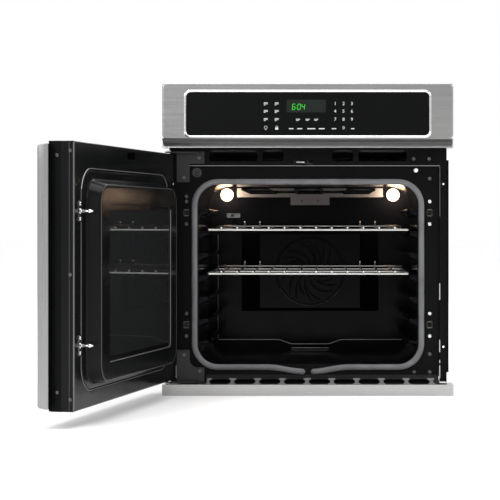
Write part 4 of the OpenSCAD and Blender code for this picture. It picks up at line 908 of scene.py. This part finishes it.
# The catch screws are alike on both sides, but those on the right are bright plated and those on the left
# blackened: the right-hand ones carry a painted highlight.
for x, z, y in catch_screws:
    (highlit_catch_screws if x > 0 else dark_set).extend(turned(HEAD, (x, y, z), "y"))
for x, z, y in ring_screws:
    dark_set += turned(HEAD, (x, y, z), "y")
for x, z, y in plate_screws:
    dark_set += turned(FLAT_HEAD, (x, y, z), "y")
piece("catch_screw_heads_painted_highlight", highlit_catch_screws, CHROME, "oven", smooth=40, slot="frame_screws")
piece("frame_screw_heads", dark_set, DARK_SCREW, "oven", smooth=40, replaces=("frame_screws",),
      slot="frame_screws")
edge_set = []
small_head = [(r * 0.84, h * 0.9) for r, h in HEAD]
for y, z in ((-19.5, 58.8), (-19.5, 305.1), (-19.5, 550.5), (-46.8, 72.5), (-46.8, 541.4)):
    edge_set += turned(small_head, (325, y, z), "x", toward=1)
piece("door_edge_screw_heads", [(opened(v), f) for v, f in edge_set], DARK_SCREW, "door", smooth=40,
      replaces=("door_screws",), slot="door_screws")

# ------------------------------------------------------------------ vent strip

shade = np.array([[-55.0, 26.15], [-11.5, 26.3], [-4.0, 27.0], [-3.0, 28.5], [-2.6, 36.0]])
sheet = np.stack([np.c_[np.full(5, x), shade] for x in (-242.0, 35.0, 311.0)]) * MM


def vent_webs():
    """Faces of the webs: a spool outline, wide at both ends and narrow between, laid on the slope of the
    strip, in a paler finish than the strip as painted highlight."""
    y = np.array([-56.5, -50, -46, -43, -39, -35, -21, -17, -14, -11, -6.5])
    half = np.array([8.4, 8.4, 7.6, 5.8, 4.6, 4.3, 4.3, 4.8, 6.4, 8.2, 8.2])
    z = np.interp(y, [-58, -13, -2], [26.0, 32.6, 38.4]) + 0.25
    parts = []
    for i in range(-4, 6):
        x = 59.0 * i - 2.0
        rows = np.stack([np.clip(x - half, -240.0, 312), y, z, np.clip(x + half, -240.0, 312)], -1)
        grid = np.stack([rows[:, [0, 1, 2]], rows[:, [3, 1, 2]]], 1) * MM
        parts.append(patch(grid, flip=True))
    return parts


piece("vent_web_highlight_faces", vent_webs(), WEB_HIGHLIGHT, "oven", smooth=30, slot="bottom_vent_strip")
piece("vent_shadow_sheet", [patch(sheet)], SHADE_FILL, "oven", smooth=30, slot="bottom_vent_strip")

# ------------------------------------------------------------------ cavity


def cavity_surface():
    """Inside of the cavity: a rounded rectangle with a flat-topped rib at each guide height on both sides.
    The ribs rise over the first 36 mm and fade before the back."""
    x, z0, z1, r = 262.0, 68.0, 502.0, 48.0
    tops = 386.8 - 53.0 * np.arange(-1, 6)
    steps = np.array([-22, -19, -16, -13, -10.4, -8.2, -6, -3.5, -1.6, -0.5, 0.0, 0.45, 1.2])
    zs = np.unique(np.concatenate([np.linspace(z0 + r, z1 - r, 40)] + [t + steps for t in tops]))
    zs = zs[(zs >= z0 + r) & (zs <= z1 - r)]
    k = np.linspace(0, np.pi / 2, 14)

    def side(s, zz):
        """Points at the heights zz on the side wall that s names, -1 or 1."""
        return np.stack([np.full(len(zz), s * x), zz], -1)

    arc_tr = np.stack([x - r + r * np.cos(k), z1 - r + r * np.sin(k)], -1)
    arc_tl = (arc_tr * [-1, 1])[::-1]
    arc_br = np.stack([x - r + r * np.cos(k - np.pi / 2), z0 + r + r * np.sin(k - np.pi / 2)], -1)
    arc_bl = (arc_br * [-1, 1])[::-1]
    outline = np.vstack([side(1, zs), arc_tr[1:], arc_tl, side(-1, zs[::-1])[1:], arc_bl[1:], arc_br[:-1]])
    depth = np.zeros(len(outline))
    z = outline[:, 1]
    on_side = np.abs(outline[:, 0]) > x - 0.01
    for t in tops:
        h = np.interp(z - t, [-22, -19, -10.4, -8.2, -1.6, 0.0, 0.45], [0, 0.6, 20.5, 23.6, 23.8, 21.6, 0.0],
                      left=0, right=0)
        depth = np.maximum(depth, np.where(on_side, h, 0))
    ys = np.concatenate([[2.0, 20, 36, 37.5, 40, 43.5, 48], np.linspace(60, 425, 20),
                         [429.5, 433, 435.5, 437, 447, 455]])
    win = np.interp(ys, [36, 37.5, 40, 43.5, 48, 425, 429.5, 433, 435.5, 437],
                    [0, 0.38, 0.72, 0.93, 1, 1, 0.93, 0.72, 0.38, 0])
    p = np.zeros((len(ys), len(outline), 3))
    p[..., 0] = outline[:, 0] - np.sign(outline[:, 0]) * depth * win[:, None]
    p[..., 1] = ys[:, None]
    p[..., 2] = outline[:, 1]
    return p * MM


piece("enamelled_cavity", [patch(cavity_surface(), wrap_v=True, flip=True)], CAVITY, "oven", smooth=40,
      replaces=("cavity_wrap",), slot="cavity_wrap")

# ------------------------------------------------------------------ controls

panel_face = pressed([
    (341.5, 606.0, 734.5, 6.5, 8.0), (343, 606.0, 736, 8, 7.0), (343, 606.0, 736, 8, -56.6),
    (342.7, 606.0, 735.7, 8, -58.4), (341.6, 606.1, 734.6, 8, -59.6), (339.8, 606.2, 732.9, 8, -60.0),
    (338.6, 606.3, 731.7, 8, -60.0), (291.5, 607.6, 719.8, 14, -60.0),
], side=12, arc=8)
bezel = pressed([
    (291.5, 607.6, 719.8, 14.4, -59.9), (290.6, 608.5, 718.9, 13.8, -60.9),
    (289.4, 609.7, 717.7, 13.0, -61.3),
    (288.2, 610.9, 716.5, 12.2, -61.2), (287.0, 612.1, 715.4, 11.6, -60.7),
    (286.2, 612.9, 714.6, 11.1, -59.8),
], side=12, arc=10)


def lower_lip():
    """Groove under the panel's face: an open outline round the front at each height, set back by the
    groove's depth.
    Its ends are flat."""
    profile = np.array([[606.0, 0.0], [605.3, 0.25], [604.4, 1.0], [598.6, 10.4], [597.8, 11.6],
                        [597.0, 12.0],
                        [596.1, 11.6], [595.3, 10.8], [585.8, 1.4], [585.0, 0.5], [584.3, 0.3], [584.0, 1.2]])
    rows = []
    for z, d in profile:
        x, y = 343.0 - min(d, 0.25), -60.0 + d
        rows.append(bent([[-x, 8, z], [-x, y, z], [x, y, z], [x, 8, z]], 1.2, 4))
    under = rows[-1].copy()
    under[:, 1] = np.maximum(under[:, 1], -8.5)
    rows.append(under)
    return np.array(rows) * MM


piece("stainless_panel_face", [patch(panel_face, wrap_v=True, flip=True)], STEEL_X, "oven", smooth=35,
      replaces=("control_panel",), slot="control_panel")
# The lip under the panel's face takes the darker copy of the steel: painted shade.
piece("stainless_panel_lip", [patch(lower_lip())], STEEL_LIP_SHADED, "oven", smooth=35, slot="control_panel")
piece("polished_glass_bezel", [patch(bezel, wrap_v=True, flip=True)], BRIGHT, "oven", smooth=70,
      slot="control_panel")


def bars(items, y=-60.72):
    """Flat printed marks: rounded bars given by centre, size and radius, all just proud of the glass."""
    parts = []
    for cx, cz, wdt, hgt, r in items:
        o = rounded_outline(cx - wdt / 2, cx + wdt / 2, cz - hgt / 2, cz + hgt / 2, r, 1, 4)
        ring = np.stack([o[:, 0], np.full(len(o), y), o[:, 1]], -1) * MM
        parts.append(fan_cap(ring))
    return parts


def digits_text(name, items, size, material, y=-60.74):
    """Generic numerals set in the program's own plain typeface, made a flat mesh."""
    made = []
    for text, x, z in items:
        c = bpy.data.curves.new(name, "FONT")
        c.body = text
        c.size = size * MM
        c.align_x = "CENTER"
        c.align_y = "CENTER"
        c.resolution_u = 2
        o = bpy.data.objects.new(name, c)
        bpy.context.scene.collection.objects.link(o)
        bpy.context.view_layer.update()
        mesh = bpy.data.meshes.new_from_object(o)
        n = len(mesh.vertices)
        co = np.empty(n * 3)
        mesh.vertices.foreach_get("co", co)
        co = co.reshape(-1, 3)
        v = np.stack([co[:, 0] + x * MM, np.full(n, y * MM), co[:, 1] + z * MM], -1)
        made.append((v, [list(p.vertices) for p in mesh.polygons]))
        bpy.data.objects.remove(o)
    verts, faces, base = [], [], 0
    for v, f in made:
        verts.append(v)
        faces += [[i + base for i in q] for q in f]
        base += len(v)
    mesh = bpy.data.meshes.new(name)
    mesh.from_pydata(np.vstack(verts).tolist(), [], faces)
    obj = bpy.data.objects.new(name, mesh)
    bpy.context.scene.collection.objects.link(obj)
    mesh.materials.append(material)
    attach(obj, "oven")
    return obj


def seven_segment(text, x, z, h):
    """Slanted seven-segment numerals: each lit bar is a pointed hexagon."""
    on = {"0": "abcdef", "4": "fgbc", "6": "afgedc"}
    width, t = h * 0.5, h * 0.105
    parts = []

    def hexagon(cx, cz, length, upright):
        """One bar of a numeral, lying or upright, leaned by its height."""
        a, b = length / 2, t / 2
        pts = np.array([[-a, 0], [-a + b, b], [a - b, b], [a, 0], [a - b, -b], [-a + b, -b]])
        pts = pts[:, ::-1] if upright else pts[::-1]
        pts = pts + [cx, cz]
        pts[:, 0] += (pts[:, 1] - z) * 0.12
        ring = np.stack([pts[:, 0], np.full(6, -60.76), pts[:, 1]], -1) * MM
        parts.append(fan_cap(ring))

    for ch in text:
        if ch == ":":
            for dz in (-h * 0.2, h * 0.2):
                hexagon(x - h * 0.05, z + dz, t * 1.3, False)
            x += h * 0.22
            continue
        cx = x + width / 2
        spots = {"a": (cx, z + h / 2, 0), "g": (cx, z, 0), "d": (cx, z - h / 2, 0), "f": (x, z + h / 4, 1),
                 "b": (x + width, z + h / 4, 1), "e": (x, z - h / 4, 1), "c": (x + width, z - h / 4, 1)}
        for key in on[ch]:
            sx, sz, up = spots[key]
            hexagon(sx, sz, (h / 2 if up else width) * 0.94, up)
        x += h * 0.74
    return parts


KEY_ROWS = (687.4, 669.5, 650.4)
icons = []
for cx in (-98.6, -72.9):
    for cz in KEY_ROWS:
        icons += [(cx, cz + 2.2, 9.5, 1.3, 0.5), (cx, cz - 0.4, 9.5, 1.3, 0.5),
                  (cx - 2.6, cz - 3.0, 4.2, 1.3, 0.5)]
for cx in (-23.0, 0.0, 20.0):
    icons += [(cx, 650.9, 10.0, 1.5, 0.5), (cx - 1.0, 647.8, 7.0, 1.1, 0.4)]
for cx, wd in ((-39, 11), (-18.5, 12), (8.5, 19), (33, 14)):
    icons += [(cx, 628.6, wd, 2.4, 0.7)]
icons += [(62.0, 628.6, 11, 2.2, 0.7), (106.0, 628.6, 8, 2.2, 0.7)]
icons += [(-98.6, 626.4, 3.4, 1.2, 0.4), (-72.9, 629.0, 7.0, 5.4, 0.8)]
piece("panel_marks", bars(icons), MARK, "oven", smooth=0, slot="control_glass")
bulb_mark = circle(-98.6, -60.6, 631.4, 3.4, 24) * MM
arch = np.linspace(0, np.pi, 12)
lock_mark = np.c_[-72.9 + 2.4 * np.cos(arch), np.full(12, -60.6), 632.2 + 3.0 * np.sin(arch)] * MM
piece("lamp_and_lock_marks", wire(bulb_mark, 0.55 * MM, 6, closed=True) + wire(lock_mark, 0.55 * MM, 6), MARK,
      "oven",
      slot="control_glass")
keys = [(str(3 * r + c + 1), 64.8 + 19.6 * c, z) for r,
        z in enumerate(KEY_ROWS) for c in range(3)] + [("0", 84.4, 630.2)]
digits_text("keypad_digits", keys, 11.0, MARK)
piece("clock_digits", seven_segment("6:04", -36.0, 680.0, 13.0), CLOCK, "oven", smooth=0,
      slot="display_module")
piece("display_window", bars([(-3.5, 682.0, 92, 30, 1.5)], y=-60.66), DISPLAY, "oven", smooth=0,
      slot="display_module")

# ------------------------------------------------------------------ light and floor

floor = bpy.data.meshes.new("floor")
floor.from_pydata([(-30, -30, 0), (30, -30, 0), (30, 30, 0), (-30, 30, 0)], [], [(0, 1, 2, 3)])
floor_obj = bpy.data.objects.new("floor", floor)
bpy.context.scene.collection.objects.link(floor_obj)
floor_mat, w, s, point = start("pale_floor")
set_values(s, Base_Color=(1.0, 1.0, 1.0, 1), Roughness=0.9, Specular_IOR_Level=0.1)
floor.materials.append(floor_mat)
floor_obj.location = (0, 0, -0.0005)

world = bpy.data.worlds.new("studio")
bpy.context.scene.world = world
world.use_nodes = True
w = Net(world.node_tree)
fill = world.node_tree.nodes["Background"]
fill.inputs["Color"].default_value = (1, 1, 1, 1)
fill.inputs["Strength"].default_value = 1.0
seen = w.add("Background")
seen.inputs["Color"].default_value = (1, 1, 1, 1)
seen.inputs["Strength"].default_value = 1.0
mirrored = w.add("Background")
mirrored.inputs["Color"].default_value = (1, 1, 1, 1)
away = w.add("SeparateXYZ")
w.link(w.add("TexCoord").outputs["Generated"], away.inputs[0])
from_side = w.spread(away.outputs[0], -0.22, 0.0, 1.5, 0.68)
far_left = w.spread(away.outputs[0], -0.45, -0.25, 0.5, 1.0)
dark_card = w.spread(away.outputs[1], -1.0, -0.95, 0.45, 1.0)
w.link(w.math("MULTIPLY", w.math("MULTIPLY", from_side, far_left), dark_card), mirrored.inputs["Strength"])
path = w.add("LightPath")
glossy = w.add("MixShader")
w.link(path.outputs["Is Glossy Ray"], glossy.inputs[0])
w.link(fill.outputs[0], glossy.inputs[1])
w.link(mirrored.outputs[0], glossy.inputs[2])
blend = w.add("MixShader")
w.link(path.outputs["Is Camera Ray"], blend.inputs[0])
w.link(glossy.outputs[0], blend.inputs[1])
w.link(seen.outputs[0], blend.inputs[2])
w.link(blend.outputs[0], world.node_tree.nodes["World Output"].inputs["Surface"])


def softbox(name, place, aim, size, power, colour=(1, 1, 1), size_y=None):
    """Rectangular area light turned to the aim point."""
    data = bpy.data.lights.new(name, "AREA")
    data.shape = "RECTANGLE"
    data.size = size
    data.size_y = size_y or size
    data.energy = power
    data.color = colour
    o = bpy.data.objects.new(name, data)
    o.location = place
    o.rotation_euler = (Vector(aim) - Vector(place)).to_track_quat("-Z", "Y").to_euler()
    bpy.context.scene.collection.objects.link(o)
    return o


softbox("left_box", (-3.0, -3.2, 2.2), (0, 0, 0.4), 1.8, 45)
softbox("right_box", (3.0, -3.0, 2.4), (0, 0, 0.4), 1.8, 38)
softbox("top_box", (0, -0.6, 3.4), (0, 0, 0.3), 2.4, 60)
softbox("high_spot", (-1.2, -0.6, 3.4), (-0.4, -0.4, 0.5), 0.3, 12)
softbox("back_box", (0.5, 3.6, 2.4), (0, 0.4, 0.4), 2.4, 30)
for side in (-1, 1):
    lamp = bpy.data.lights.new("lamp_glow_%d" % (side + 1), "POINT")
    lamp.energy = 1.0
    lamp.color = (1.0, 0.70, 0.48)
    lamp.shadow_soft_size = 0.012
    lamp_obj = bpy.data.objects.new(lamp.name, lamp)
    lamp_obj.location = (side * 0.222, 0.425, 0.481)
    lamp_obj.visible_glossy = False
    bpy.context.scene.collection.objects.link(lamp_obj)
